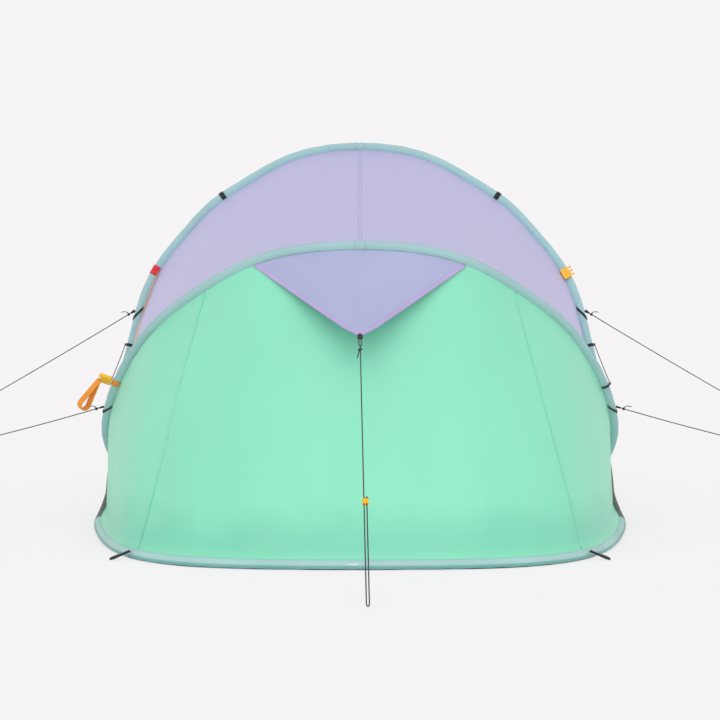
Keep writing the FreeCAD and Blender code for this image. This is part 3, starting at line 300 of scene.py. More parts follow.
def ring_mesh(name, rings, closed_ends=True):
    """A tube or band through rings of points, with a map in metres along and around it."""
    count, around = rings.shape[:2]
    run, girth = run_along(rings.mean(axis=1)), run_along(np.vstack([rings[0], rings[0][:1]]))
    faces, coords = [], []
    for i in range(count - 1):
        for j in range(around):
            k = (j + 1) % around
            here, there = i * around, (i + 1) * around
            faces.append((here + j, here + k, there + k, there + j))
            coords += [(run[i], girth[j]), (run[i], girth[j + 1]),
                       (run[i + 1], girth[j + 1]), (run[i + 1], girth[j])]
    if closed_ends:
        faces.append(tuple(range(around - 1, -1, -1)))
        faces.append(tuple((count - 1) * around + j for j in range(around)))
        coords += [(0, 0)] * (2 * around)
    mesh = bpy.data.meshes.new(name)
    mesh.from_pydata(rings.reshape(-1, 3).tolist(), [], faces)
    mesh.uv_layers.new(name="UVMap").data.foreach_set("uv", np.array(coords).ravel())
    turned = bmesh.new()
    turned.from_mesh(mesh)
    bmesh.ops.recalc_face_normals(turned, faces=turned.faces)
    turned.to_mesh(mesh)
    turned.free()
    mesh.shade_smooth()
    return new_object(name, mesh)


def swept(path, side, up, section):
    """Rings of points along a path, each the section set out sideways and upwards."""
    return np.stack([path + side * a + up * b for a, b in section], axis=1)


def lie_of(path, normal):
    """The way along a path on a surface, and the way across it."""
    along = unit(np.gradient(path, axis=0))
    return along, unit(np.cross(normal, along))


def finish_piece(made, material, slot, body="tent", stands_for=()):
    made.data.materials.clear()
    made.data.materials.append(material)
    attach(made, body)
    if stands_for:
        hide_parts(*stands_for)
    return made


# Woven threads over and under each other, from a map in metres; the height is 0 to 1.
weave, weave_in, weave_out, node = new_effect(
    "woven_threads", [("Map", "NodeSocketVector", None),
                      ("Threads per metre", "NodeSocketFloat", 900.0),
                      ("Slub", "NodeSocketFloat", 0.3)],
    [("Height", "NodeSocketFloat"), ("Shade", "NodeSocketFloat")])
grown = node("ShaderNodeVectorMath", {0: weave_in["Map"], "Scale": weave_in["Threads per metre"]},
             operation="SCALE")
parts_of = node("ShaderNodeSeparateXYZ", {"Vector": grown.outputs["Vector"]})
waves = []
for axis in ("X", "Y"):
    turn = node("ShaderNodeMath", {0: parts_of.outputs[axis], 1: math.pi}, operation="MULTIPLY")
    wave = node("ShaderNodeMath", {0: turn.outputs["Value"]}, operation="SINE")
    waves.append(node("ShaderNodeMath", {0: wave.outputs["Value"]}, operation="ABSOLUTE"))
checker = node("ShaderNodeTexChecker", {"Vector": grown.outputs["Vector"], "Scale": 1.0,
                                        "Color1": (1, 1, 1, 1), "Color2": (0, 0, 0, 1)})
crossed = node("ShaderNodeMix", {"Factor": checker.outputs["Fac"], "A": waves[0].outputs["Value"],
                                 "B": waves[1].outputs["Value"]})
slubs = node("ShaderNodeTexNoise", {"Vector": weave_in["Map"], "Scale": 260.0, "Detail": 2.0})
slubbed = node("ShaderNodeMix", {"A": crossed.outputs["Result"], "B": slubs.outputs["Fac"],
                                 "Factor": weave_in["Slub"]})
fill(weave_out, {"Height": slubbed.outputs["Result"], "Shade": slubs.outputs["Fac"]})


def woven_material(name, tone, threads, roughness, sheen, depth=0.00025, patch=2.5, drift=0.05,
                   dark_share=0.80, shade_by=None):
    """Woven cloth: thread bump, a darker gap between threads, and soft drifts of tone."""
    made, shader, node = new_material(name)
    map_in = node("ShaderNodeUVMap", uv_map="UVMap")
    woven = node("ShaderNodeGroup", {"Map": map_in.outputs["UV"], "Threads per metre": threads},
                 node_tree=weave)
    gaps = ranged(node, woven.outputs["Height"], dark_share, 1.04)
    last = node("ShaderNodeVectorMath", {0: toned(node, tone, patch, drift).outputs["Colour"],
                                         "Scale": gaps}, operation="SCALE")
    if shade_by:
        last = node("ShaderNodeVectorMath", {0: last.outputs["Vector"], 1: shade_by(node, map_in)},
                    operation="MULTIPLY")
    rough = ranged(node, woven.outputs["Shade"], roughness - 0.08, roughness + 0.08)
    bump = node("ShaderNodeBump", {"Height": woven.outputs["Height"], "Strength": 0.6,
                                   "Distance": depth})
    fill(shader, {"Base Color": last.outputs["Vector"], "Roughness": rough,
                  "Normal": bump.outputs["Normal"], "Sheen Weight": sheen, "Sheen Roughness": 0.45})
    return made


def tinge(node, share, tone):
    """White that turns to a tone as the share rises from 0 to 1."""
    mixed = node("ShaderNodeMix", {"Factor": share, "A": (1, 1, 1, 1), "B": (*tone, 1)},
                 data_type="RGBA")
    return mixed.outputs["Result"]


# Painted shade at the tape's stitched edge: its tinge, and the distances in from the edge over
# which it comes in.
SEAM_SHADE_TINGE = (0.80, 0.86, 0.88)
SEAM_FROM, SEAM_FULL = 0.0032, 0.0016   # from the tape's edge, where the seam's tinge comes in


def painted_edge_shade(fold_width, fold_shade_tone):
    """Painted shade: a darker line along the tape's folded edge and a thin one along its stitched
    edge.
    """
    def shade(node, map_in):
        girth = node("ShaderNodeSeparateXYZ", {"Vector": map_in.outputs["UV"]})
        from_fold = node("ShaderNodeMath", {0: girth.outputs["Y"], 1: TAPE_GIRTH / 2},
                         operation="PINGPONG").outputs["Value"]
        near_fold = ranged(node, from_fold, 1.0, 0.0, fold_width * 0.75, fold_width * 1.25)
        near_seam = ranged(node, from_fold, 0.0, 1.0, TAPE_GIRTH / 2 - SEAM_FROM,
                           TAPE_GIRTH / 2 - SEAM_FULL)
        folded = tinge(node, near_fold, fold_shade_tone)
        sewn = tinge(node, near_seam, SEAM_SHADE_TINGE)
        both = node("ShaderNodeVectorMath", {0: folded, 1: sewn}, operation="MULTIPLY")
        return both.outputs["Vector"]
    return shade


# The pale tape carries painted shade: a thin darker line along its folded edge and along its
# stitched edge.
pale_tape = woven_material("pale_binding_tape", colour(166, 206, 207), 700, 0.72, 0.25,
                           depth=0.0003, patch=6.0, drift=0.06, dark_share=0.86,
                           shade_by=painted_edge_shade(0.0020, (0.62, 0.70, 0.72)))
# The floor tape is a copy of the pale tape, a little lighter in tone, with painted shade: a wide
# darker teal band at its folded edge, where its underside turns to the floor, and the thin line at
# its stitched edge.
floor_tape = woven_material("floor_binding_tape", colour(172, 212, 210), 700, 0.72, 0.25,
                            depth=0.0003, patch=6.0, drift=0.06, dark_share=0.86,
                            shade_by=painted_edge_shade(0.0100, (0.42, 0.66, 0.62)))
dark_tape = woven_material("dark_edge_tape", colour(100, 103, 106), 620, 0.80, 0.15,
                           depth=0.0004, patch=9.0, drift=0.10, dark_share=0.72)


def folded_tape(name, hoop, first, last):
    """One stretch of tape folded over the rod, between two distances round the ring."""
    count = max(8, int((last - first) / 0.008))
    t = np.linspace(first, last, count)
    point, _, out, side = hoop.frame(t)
    section = TAPE_SECTION + [(a, -b) for a, b in reversed(TAPE_SECTION)]
    rings = np.zeros((count, len(section), 3))
    for j, (a, b) in enumerate(section):
        ripple = RIPPLE * np.sin(t * 95 + a * 300) * (1 if abs(a) > 0.007 else 0.3)
        rings[:, j] = point + out * (a + ripple)[:, None] + side * b
    return ring_mesh(name, rings)


def tape_stretches(hoop, arch_break, base_break):
    """Where a hoop's tapes begin and end: over the arch, down each side and round the floor."""
    return ((hoop.arch(arch_break + BREAK_GAP), hoop.arch(1 - arch_break - BREAK_GAP)),
            (hoop.base(base_break), hoop.arch(arch_break)),
            (hoop.arch(1 - arch_break), hoop.base(1 - base_break) + hoop.end),
            (hoop.base(1 - base_break - BREAK_GAP), hoop.base(base_break + BREAK_GAP)))


for hoop, breaks, arch_name, side_name, floor_name in (
        (tall, TALL_BREAKS, "tall_arch_sleeve", "tall_side_sleeve", "low_end_floor_sleeve"),
        (low, LOW_BREAKS, "low_arch_sleeve", "low_side_sleeve", "door_end_floor_sleeve")):
    names = (arch_name, side_name + "_right", side_name + "_left", floor_name)
    cloths = ((pale_tape, "pale_tape"), (dark_tape, "dark_tape"), (dark_tape, "dark_tape"),
              (floor_tape, "pale_tape"))
    for name, (first, last), (cloth, slot) in zip(names, tape_stretches(hoop, *breaks), cloths):
        finish_piece(folded_tape(name + "_tape", hoop, first, last), cloth, slot, stands_for=[name])

# ---- Roof panels -------------------------------------------------------------------------------
# Lilac coated polyester in two cuts, joined down the middle by a flat felled seam. Each cut is sewn
# into the tapes of both arches, which pull it taut into a shallow saddle.
SEWN_IN = -0.0016
CLOTH = 0.0008
SEAM_WIDTH = 0.009
STITCH_LINES = (-0.32, 0.32)    # across a seam, as shares of its width
TENT_HEART = np.array([0.0, 0.0, 0.3])  # the cloths face away from here


def cloth_noise(points, scale, seed):
    """Smooth noise of about -1 to 1 over points, with a scale for each axis."""
    spots = (points * np.array(scale) + seed).reshape(-1, 3)
    return np.array([noise.noise(Vector(spot)) for spot in spots]).reshape(points.shape[:-1])


def near_edge(distance, reach):
    return np.exp(-np.maximum(distance, 0) / reach)


def halved(low_end, high_end, lower):
    """The place between two ends at which a test, given as a function, turns from true to false."""
    for _ in range(36):
        middle = (low_end + high_end) / 2
        same = lower(middle)
        low_end, high_end = np.where(same, middle, low_end), np.where(same, high_end, middle)
    return (low_end + high_end) / 2


class ClothSkin:
    """Cloth stretched from one sewn edge to another; u runs along the edges, v between them."""

    def __init__(self, edge_a, edge_b, bulge, folds):
        self.edge_a, self.edge_b, self.bulge, self.folds = edge_a, edge_b, bulge, folds
        self.outward = 1.0
        point, normal = self.at(np.array([0.5]), np.array([0.5]))
        if float(np.sum(normal * (point - TENT_HEART))) < 0:
            self.outward = -1.0

    def flat(self, u, v):
        a, b = self.edge_a(u), self.edge_b(u)
        return a + (b - a) * v[..., None]

    def smooth(self, u, v):
        step = 0.002
        point = self.flat(u, v)
        along = self.flat(u + step, v) - self.flat(u - step, v)
        over = self.edge_b(u) - self.edge_a(u)
        normal = unit(np.cross(along, over)) * self.outward
        span = np.linalg.norm(over, axis=-1)
        swell = self.bulge * 4 * v * (1 - v)
        return point + normal * swell[..., None], normal, span

    def at(self, u, v, lift=0.0):
        """Points of the creased cloth, raised by lift, and the way out of it."""
        u, v = np.broadcast_arrays(np.asarray(u, float), np.asarray(v, float))
        point, normal, span = self.smooth(u, v)
        rise = self.folds(point, v * span, (1 - v) * span) if self.folds else 0.0
        return point + normal * (rise + lift)[..., None], normal

    def share_at(self, v, off_plane, first, last):
        """The share u in a range at which a measure of the point falls to zero."""
        v = np.asarray(v, float)
        a, b = np.full(v.shape, first), np.full(v.shape, last)
        start = np.sign(off_plane(self.smooth(a, v)[0]))
        return halved(a, b, lambda u: np.sign(off_plane(self.smooth(u, v)[0])) == start)


def grid_cloth(point, place_on_map):
    """Faces through a grid of points, with a map in metres."""
    columns, rows = point.shape[:2]
    whole = bmesh.new()
    layer = whole.loops.layers.uv.new("UVMap")
    corners = [[whole.verts.new(point[i, j]) for j in range(rows)] for i in range(columns)]
    for i in range(columns - 1):
        for j in range(rows - 1):
            spots = ((i, j), (i + 1, j), (i + 1, j + 1), (i, j + 1))
            face = whole.faces.new([corners[a][b] for a, b in spots])
            face.smooth = True
            for loop, (a, b) in zip(face.loops, spots):
                loop[layer].uv = place_on_map(a, b)
    whole.faces.ensure_lookup_table()
    return whole


def face_outwards(whole, hub):
    """Turns the cloth over where the face in its middle looks towards the hub."""
    centre = whole.faces[len(whole.faces) // 2]
    centre.normal_update()
    if centre.normal.dot(centre.calc_center_median() - Vector(hub)) < 0:
        bmesh.ops.reverse_faces(whole, faces=whole.faces[:])


def cloth_grid(skin, first, last, columns, rows):
    """The whole cloth before it is cut, with a map in metres along and across it."""
    u, v = np.linspace(first, last, columns), np.linspace(0, 1, rows)
    point, _ = skin.at(u[:, None], v[None, :], np.zeros((columns, rows)))
    along = run_along(point[:, rows // 2])
    span = np.linalg.norm(point[:, -1] - point[:, 0], axis=1)
    whole = grid_cloth(point, lambda i, j: (along[i], v[j] * span[i]))
    face_outwards(whole, TENT_HEART)
    return whole


def cut_along(whole, planes):
    """Cuts the cloth's faces along planes, each given by a place and the way it faces."""
    for place, way in planes:
        everything = whole.verts[:] + whole.edges[:] + whole.faces[:]
        bmesh.ops.bisect_plane(whole, geom=everything, plane_co=place, plane_no=way, dist=1e-6)


def cloth_piece(name, whole, kept, material, slot, stands_for, flat, area,
                body="tent", thickness=CLOTH):
    """One cut piece of the cloth with its thickness. Its size when laid flat, flat and area, is not
    used.
    """
    part = whole.copy()
    waste = [face for face in part.faces if not kept(face.calc_center_median())]
    bmesh.ops.delete(part, geom=waste, context="FACES")
    bmesh.ops.solidify(part, geom=part.faces[:], thickness=thickness)
    mesh = bpy.data.meshes.new(name)
    part.to_mesh(mesh)
    part.free()
    mesh.shade_smooth()
    mesh.set_sharp_from_angle(angle=math.radians(50))
    made = finish_piece(new_object(name, mesh), material, slot, body, [stands_for])


def seam_strip(name, skin, u, v, material, slot, body="tent", width=SEAM_WIDTH, lift=0.0005,
               thick=0.0009, stands_for=()):
    """A flat felled seam that lies on the cloth along a line of shares. Gives its stitch rows."""
    point, normal = skin.at(u, v, np.full(np.shape(u), lift))
    _, side = lie_of(point, normal)
    half = width / 2
    section = [(-half, 0), (-half * 0.9, thick * 0.8), (-half * 0.5, thick), (0, thick * 1.05),
               (half * 0.5, thick), (half * 0.9, thick * 0.8), (half, 0), (0, -thick * 0.5)]
    finish_piece(ring_mesh(name, swept(point, side, normal, section)), material, slot, body,
                 stands_for)
    return [(point + side * (width * s) + normal * (thick * 1.02), normal) for s in STITCH_LINES]


def roof_folds(point, from_tall, from_low):
    """Puckers at the sewn edges and long soft folds across the saddle."""
    edge = np.minimum(from_tall, from_low)
    calm = np.clip(edge / 0.012, 0, 1)
    soft = cloth_noise(point, (4.0, 2.2, 4.0), 3.0) * 0.0030
    pucker = cloth_noise(point, (34, 9, 34), 8.0) * near_edge(edge, 0.030) * 0.0034
    fine = cloth_noise(point, (11, 5, 11), 5.0) * 0.0011
    return (soft + pucker + fine) * calm


lilac_cloth = woven_material("lilac_roof_cloth", colour(187, 182, 224), 1100, 0.50, 0.18,
                             depth=0.00012, patch=2.0, drift=0.025, dark_share=0.95)
roof_skin = ClothSkin(lambda u: tall.edge(tall.arch(u), SEWN_IN, -0.0005),
                      lambda u: low.edge(low.arch(u), SEWN_IN, 0.0005), -0.008, roof_folds)
SKIN_START = 0.022
whole = cloth_grid(roof_skin, SKIN_START, 1 - SKIN_START, 561, 61)
cut_along(whole, [((0, 0, 0), (1, 0, 0))])
for side, name in ((1, "right"), (-1, "left")):
    cloth_piece("roof_cloth_" + name, whole, lambda p: p.x * side > 0, lilac_cloth, "lilac_cloth",
                "roof_panel_" + name, (1.20, 1.09), 0.834)
whole.free()
v = np.linspace(0.012, 0.985, 110)
u = roof_skin.share_at(v, lambda p: p[..., 0], 0.45, 0.55)
lilac_rows = seam_strip("roof_centre_seam", roof_skin, u, v, lilac_cloth, "lilac_cloth")

# ---- Low end panel, gussets and vent -----------------------------------------------------------
# Green polyester from the low arch down to the floor tape, in a middle panel between two slanting
# felled seams and a gusset each side. A net vent is let in at the top, under the awning.
VENT_HALF = 0.150
VENT_FOOT = 0.784 - TAPE_WIDTH / 2 - 0.090
SEAM_FOOT = (0.557, 0.020)
SEAM_TOP = (0.400, 0.670)


def leaning(foot, top, z):
    """Half the width between two leaning lines at a height; an end is a half width and a height."""
    return foot[0] + (top[0] - foot[0]) * (z - foot[1]) / (top[1] - foot[1])


def leaning_planes(foot, top):
    """The two upright planes along Y through the leaning lines."""
    rise, run = top[1] - foot[1], top[0] - foot[0]
    return [((side * foot[0], 0, foot[1]), (side * rise, 0, -run)) for side in (1, -1)]


def low_end_folds(point, from_arch, from_floor):
    """Upright folds that fan out down the panel, and puckers along the seams."""
    edge = np.minimum(from_arch, from_floor)
    calm = np.clip(edge / 0.012, 0, 1)
    beside = np.abs(np.abs(point[..., 0]) - leaning(SEAM_FOOT, SEAM_TOP, point[..., 2]))
    upright = cloth_noise(point, (11.0, 1.5, 1.5), 21.0) * 0.0062
    streaks = (cloth_noise(point, (38.0, 2.0, 1.6), 24.0) * 0.0013
               * np.clip(np.abs(point[..., 0]) / 0.55, 0.2, 1))
    broad = cloth_noise(point, (3.0, 1.0, 1.6), 27.0) * 0.0050
    slack = (cloth_noise(point, (5, 3, 9), 4.0) * 0.0042
             * np.clip((0.30 - point[..., 2]) / 0.30, 0, 1))
    pucker = cloth_noise(point, (36, 12, 20), 13.0) * near_edge(edge, 0.032) * 0.0036
    seam = cloth_noise(point, (12, 12, 42), 15.0) * near_edge(beside, 0.020) * 0.0016
    sheltered = eased(point[..., 2], 0.54, 0.66) * (1 - eased(np.abs(point[..., 0]), 0.27, 0.36))
    free = 1 - 0.90 * sheltered
    return ((upright + streaks + broad + pucker) * free + slack + seam - 0.0040 * sheltered) * calm


def shade_of_wall_behind(node, _):
    """Painted shade: the groundsheet's turned-up wall shows through the thin cloth as a darker
    band.
    """
    place = node("ShaderNodeTexCoord").outputs["Object"]
    wave = node("ShaderNodeTexNoise", {"Vector": place, "Scale": 5.0, "Detail": 2.0})
    spot = node("ShaderNodeSeparateXYZ", {"Vector": place})
    height = node("ShaderNodeMath", {0: wave.outputs["Fac"], 1: -0.10, 2: spot.outputs["Z"]},
                  operation="MULTIPLY_ADD")
    under = ranged(node, height.outputs["Value"], 1.0, 0.0, 0.030, 0.110)
    above = ranged(node, spot.outputs["Z"], 0.25, 1.0, 0.022, 0.050)
    share = node("ShaderNodeMath", {0: under, 1: above}, operation="MULTIPLY")
    return tinge(node, share.outputs["Value"], (0.79, 0.87, 0.88))


# The green cloth carries painted shade low down, where the groundsheet's wall stands behind it.
green_cloth = woven_material("green_end_cloth", colour(138, 228, 193), 1100, 0.50, 0.20,
                             depth=0.00012, patch=2.2, drift=0.03, dark_share=0.95,
                             shade_by=shade_of_wall_behind)
net_cloth, shader, node = new_material("vent_net")
map_in = node("ShaderNodeUVMap", uv_map="UVMap")
holes = node("ShaderNodeGroup", {"Map": map_in.outputs["UV"], "Threads per metre": 480.0,
                                 "Slub": 0.1}, node_tree=weave)
solid = ranged(node, holes.outputs["Height"], 1.0, 0.25, 0.30, 0.42)
tone = toned(node, colour(96, 190, 160), 12.0)
fill(shader, {"Base Color": tone.outputs["Colour"], "Alpha": solid,
              "Roughness": 0.7})

SIDE_DRAW = 0.018
DRAWN_FROM, DRAWN_UP_TO = (0.016, 0.040), (0.10, 0.32)      # heights where it comes and goes
DRAWN_SHARES = (0.12, 0.24)     # shares along the edges, from either end, over which it fades


class DrawnInSkin(ClothSkin):
    """Cloth whose free side edges pull in between the arch and the floor."""

    def smooth(self, u, v):
        point, normal, span = super().smooth(u, v)
        height = point[..., 2]
        low_down = eased(height, *DRAWN_FROM) * (1 - eased(height, *DRAWN_UP_TO))
        inward = SIDE_DRAW * low_down * (1 - eased(np.minimum(u, 1 - u), *DRAWN_SHARES))
        inward = inward * np.clip(np.minimum(v, 1 - v) / 0.02, 0, 1)
        inward = np.sign(point[..., :1]) * inward[..., None]
        return point - inward * np.array([1, 0, 0]), normal, span


low_end_skin = DrawnInSkin(lambda u: low.edge(low.arch(u), SEWN_IN, -0.0005),
                           lambda u: tall.edge(tall.base(u), SEWN_IN, 0.0), 0.006, low_end_folds)
whole = cloth_grid(low_end_skin, SKIN_START, 1 - SKIN_START, 561, 71)
cut_along(whole, leaning_planes(SEAM_FOOT, SEAM_TOP)
          + [((side * VENT_HALF, 0, 0), (1, 0, 0)) for side in (1, -1)]
          + [((0, 0, VENT_FOOT), (0, 0, 1))])


def in_vent(p):
    return abs(p.x) < VENT_HALF and p.z > VENT_FOOT


def in_middle(p):
    return abs(p.x) < leaning(SEAM_FOOT, SEAM_TOP, p.z)


cloth_piece("low_end_cloth", whole, lambda p: in_middle(p) and not in_vent(p), green_cloth,
            "green_cloth", "low_end_panel", (1.29, 0.81), 0.838)
for side, name in ((1, "right"), (-1, "left")):
    cloth_piece("low_end_gusset_cloth_" + name, whole,
                lambda p: not in_middle(p) and p.x * side > 0, green_cloth, "green_cloth",
                "low_end_gusset_" + name, (0.94, 0.64), 0.356)
cloth_piece("vent_net", whole, in_vent, net_cloth, "mesh", "vent_mesh", (0.33, 0.10), 0.029,
            thickness=0.0005)
whole.free()

tent_rows = []
v = np.linspace(0.004, 0.992, 130)
for name, far_share in (("right", 0.02), ("left", 0.98)):
    u = low_end_skin.share_at(
        v, lambda p: np.abs(p[..., 0]) - leaning(SEAM_FOOT, SEAM_TOP, p[..., 2]), 0.5, far_share)
    tent_rows += seam_strip("low_end_seam_" + name, low_end_skin, u, v, green_cloth, "green_cloth")

# ---- Door end ----------------------------------------------------------------------------------
# Green polyester from the tall arch down to the door end's floor tape, in two halves sewn together
# above and below the door, with the door's opening between them.
DOOR_FOOT = (0.400, 0.060)
DOOR_TOP = (0.270, 0.800)
DOOR_GAP = 0.0012
DOOR_TOP_GAP = 0.0030


def door_end_folds(point, from_arch, from_floor):
    """Soft upright folds, kept flat beside the door's zip and its hinge."""
    edge = np.minimum(from_arch, from_floor)
    calm = np.clip(edge / 0.012, 0, 1)
    beside = np.abs(np.abs(point[..., 0]) - leaning(DOOR_FOOT, DOOR_TOP, point[..., 2]))
    flat = 1 - 0.92 * near_edge(np.maximum(beside - 0.012, 0), 0.03) * (point[..., 2] < 0.86)
    upright = cloth_noise(point, (8.0, 1.5, 1.6), 51.0) * 0.0036
    broad = cloth_noise(point, (2.6, 1.0, 1.4), 57.0) * 0.0045
    pucker = cloth_noise(point, (36, 12, 20), 53.0) * near_edge(edge, 0.032) * 0.0034
    return (upright + broad + pucker) * calm * flat


door_end_skin = ClothSkin(lambda u: tall.edge(tall.arch(u), SEWN_IN, 0.0005),
                          lambda u: low.edge(low.base(u), SEWN_IN, 0.0), 0.0, door_end_folds)
whole = cloth_grid(door_end_skin, SKIN_START, 1 - SKIN_START, 561, 81)


def opening_cuts(foot, top, gap, top_gap):
    """The planes round a door's opening, and round the door a gap inside it."""
    cuts = []
    for wider, higher in ((gap / 2, gap / 2), (-gap / 2, gap / 2 - top_gap)):
        cuts += leaning_planes((foot[0] + wider, foot[1]), (top[0] + wider, top[1]))
        cuts += [((0, 0, foot[1] - wider), (0, 0, 1)), ((0, 0, top[1] + higher), (0, 0, 1))]
    return cuts


def in_opening(p, foot, top, wider, higher):
    return (abs(p.x) < leaning(foot, top, p.z) + wider
            and foot[1] - wider < p.z < top[1] + higher)


cut_along(whole, [((0, 0, 0), (1, 0, 0))]
          + opening_cuts(DOOR_FOOT, DOOR_TOP, DOOR_GAP, DOOR_TOP_GAP))
for side, name in ((1, "right"), (-1, "left")):
    cloth_piece("door_end_cloth_" + name, whole,
                lambda p: p.x * side > 0 and not in_opening(p, DOOR_FOOT, DOOR_TOP, DOOR_GAP / 2,
                                                            DOOR_GAP / 2),
                green_cloth, "green_cloth", "door_end_panel_" + name, (1.20, 1.42), 0.828)
cloth_piece("outer_door_cloth", whole,
            lambda p: in_opening(p, DOOR_FOOT, DOOR_TOP, -DOOR_GAP / 2,
                                 DOOR_GAP / 2 - DOOR_TOP_GAP),
            green_cloth, "green_cloth", "outer_door", (0.74, 1.08), 0.689, body="outer_door")
whole.free()

# ---- Side patches under the crossings ----------------------------------------------------------
# Where the two hoops cross, a small green patch each side closes the tent from the crossing down to
# the ground, behind the dark taped bends of the hoops.
BELOW_TALL = 0.044              # shares of a hoop's floor run where the patch reaches the ground
BELOW_LOW = 0.080
PATCH_DRAW = 0.016
LOWEST = 0.0036
FREE_ROWS = 33                  # grid rows above the point where the two panels end

for side, name in ((1, "right"), (-1, "left")):
    start = np.full(FREE_ROWS + 1, SKIN_START if side > 0 else 1 - SKIN_START)
    v, s = np.linspace(0, 1, FREE_ROWS + 1), np.linspace(0, 1, 30)
    below = np.linspace(0, 1, 15)[1:]
    spread = [SKIN_START + (end - SKIN_START) * below for end in (BELOW_TALL, BELOW_LOW)]
    spread = spread if side > 0 else [1 - share for share in spread]
    first = np.vstack([low_end_skin.at(start, v)[0],
                       tall.edge(tall.base(spread[0]), SEWN_IN, 0.0)])
    last = np.vstack([door_end_skin.at(start, v)[0], low.edge(low.base(spread[1]), SEWN_IN, 0.0)])
    first, last = (np.vstack([edge, edge[-1:] * (1, 1, 0.55), edge[-1:] * (0.995, 1, 0.16)])
                   for edge in (first, last))
    point = first[None, :] + (last - first)[None, :] * s[:, None, None]
    fall = np.clip(np.arange(len(first)) - FREE_ROWS, 0, 16) / 16
    swell = np.sin(math.pi * s)[:, None]
    inward = swell * PATCH_DRAW * (1 - 0.6 * fall)
    inward = inward + cloth_noise(point, (6, 16, 5), 44.0) * 0.003 * swell
    point[..., 0] -= side * inward
    point[..., 2] = np.maximum(point[..., 2], LOWEST)
    whole = grid_cloth(point, lambda i, j: point[i, j, 1:])
    face_outwards(whole, (0, 0, 0))
    cloth_piece("side_patch_" + name, whole, lambda p: True, green_cloth, "green_cloth",
                "side_wall_" + name, (0.40, 0.17), 0.029)
    whole.free()

# ---- Hems, seams and hinge of the outer door ---------------------------------------------------
# Short seams above and below the door join the two halves of the door end, folded hems bind the
# opening and the door, and a folded strip of cloth is the door's hinge along its left edge.
HEM = 0.013
hem_cloth = woven_material("green_hem_tape", colour(132, 224, 192), 900, 0.58, 0.22, depth=0.0002,
                           patch=5.0, drift=0.05, dark_share=0.90)


def leaning_path(skin, foot, top, side, shift, heights, first, last):
    """Shares of a line on the cloth beside a leaning seam, at the heights given."""
    def off(p):
        return side * p[..., 0] - leaning(foot, top, p[..., 2]) - shift
    v = np.linspace(0.0, 1.0, 160)
    u = skin.share_at(v, off, first, last)
    z = skin.smooth(u, v)[0][..., 2]
    order = np.argsort(z)
    v_at = np.interp(heights, z[order], v[order])
    return skin.share_at(v_at, off, first, last), v_at


def level_path(skin, foot, top, shift, z, first):
    """Shares of a level line on the cloth, between the leaning edges moved out by a shift."""
    start, _ = leaning_path(skin, foot, top, 1, shift, np.array([z]), 0.5, first)
    u = start[0] + (1 - 2 * start[0]) * np.linspace(0.0, 1.0, 70)
    return u, halved(np.zeros(u.shape), np.ones(u.shape),
                     lambda v: skin.smooth(u, v)[0][..., 2] > z)


for first, last, name in ((0.012, 0.30, "seam_over_door"), (0.965, 0.992, "seam_under_door")):
    v = np.linspace(first, last, 40)
    u = door_end_skin.share_at(v, lambda p: p[..., 0], 0.45, 0.55)
    z = door_end_skin.smooth(u, v)[0][..., 2]
    clear = (z > DOOR_TOP[1] + 0.016) | (z < DOOR_FOOT[1] - 0.012)
    tent_rows += seam_strip(name, door_end_skin, u[clear], v[clear], green_cloth, "green_cloth")

door_rows = []
for z, shift, name, body, rows in (
        (DOOR_TOP[1] + 0.009, 0.012, "opening_hem_over", "tent", tent_rows),
        (DOOR_FOOT[1] - 0.008, 0.012, "opening_hem_under", "tent", tent_rows),
        (DOOR_TOP[1] - 0.0105, -0.020, "door_hem_top", "outer_door", door_rows),
        (DOOR_FOOT[1] + 0.009, -0.020, "door_hem_foot", "outer_door", door_rows)):
    u, v = level_path(door_end_skin, DOOR_FOOT, DOOR_TOP, shift, z, 0.0)
    rows += seam_strip(name, door_end_skin, u, v, hem_cloth, "green_cloth", body, width=HEM)


def hinge_strip(name, skin, u, v, lift, toward, section, material):
    """A folded strip along a line of shares, and its middle and its way from wall to door there."""
    point, normal = skin.at(u, v, np.full(len(u), lift))
    _, side = lie_of(point, normal)
    side = side * np.sign(np.dot(side[0], toward))
    strip = ring_mesh(name, swept(point, side, normal, section))
    strip.data.materials.append(material)
    return strip, point[len(point) // 2], side[len(point) // 2]


heights = np.linspace(DOOR_FOOT[1] - 0.002, DOOR_TOP[1] + 0.002, 90)[2:-2]
u, v = leaning_path(door_end_skin, DOOR_FOOT, DOOR_TOP, -1, 0.0, heights, 0.5, 1.0)
offsets = np.linspace(-0.016, 0.016, 17)
section = [(a, 0.0004 + 0.0018 * math.exp(-(a / 0.004) ** 2)) for a in offsets]
section += [(a, -0.0006) for a in offsets[::-1]]
strip, place, way = hinge_strip("door_hinge_strip", door_end_skin, u, v, 0.0008, (1, 0, 0), section,
                                hem_cloth)
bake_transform(strip)

# ---- Inner tent --------------------------------------------------------------------------------
# Pale breathable polyester hung 45 mm inside the outer cloth: a roof, two end walls and a door that
# falls inwards from its foot. It is sewn to the groundsheet just inside the floor tapes.
INNER_GAP = 0.0453
INNER_START = 0.060
INNER_DOOR_FOOT = (0.320, 0.100)
INNER_DOOR_TOP = (0.210, 0.690)
FOOT_INSET = 0.030
FOOT_HEIGHT = 0.0036


def inner_foot(hoop, inside):
    """The line on the groundsheet where an inner wall is sewn down."""
    def at(u):
        point, _, _, side = hoop.frame(hoop.base(u))
        foot = point + unit(side * LEVEL) * inside * FOOT_INSET
        foot[..., 2] = FOOT_HEIGHT
        return foot
    return at


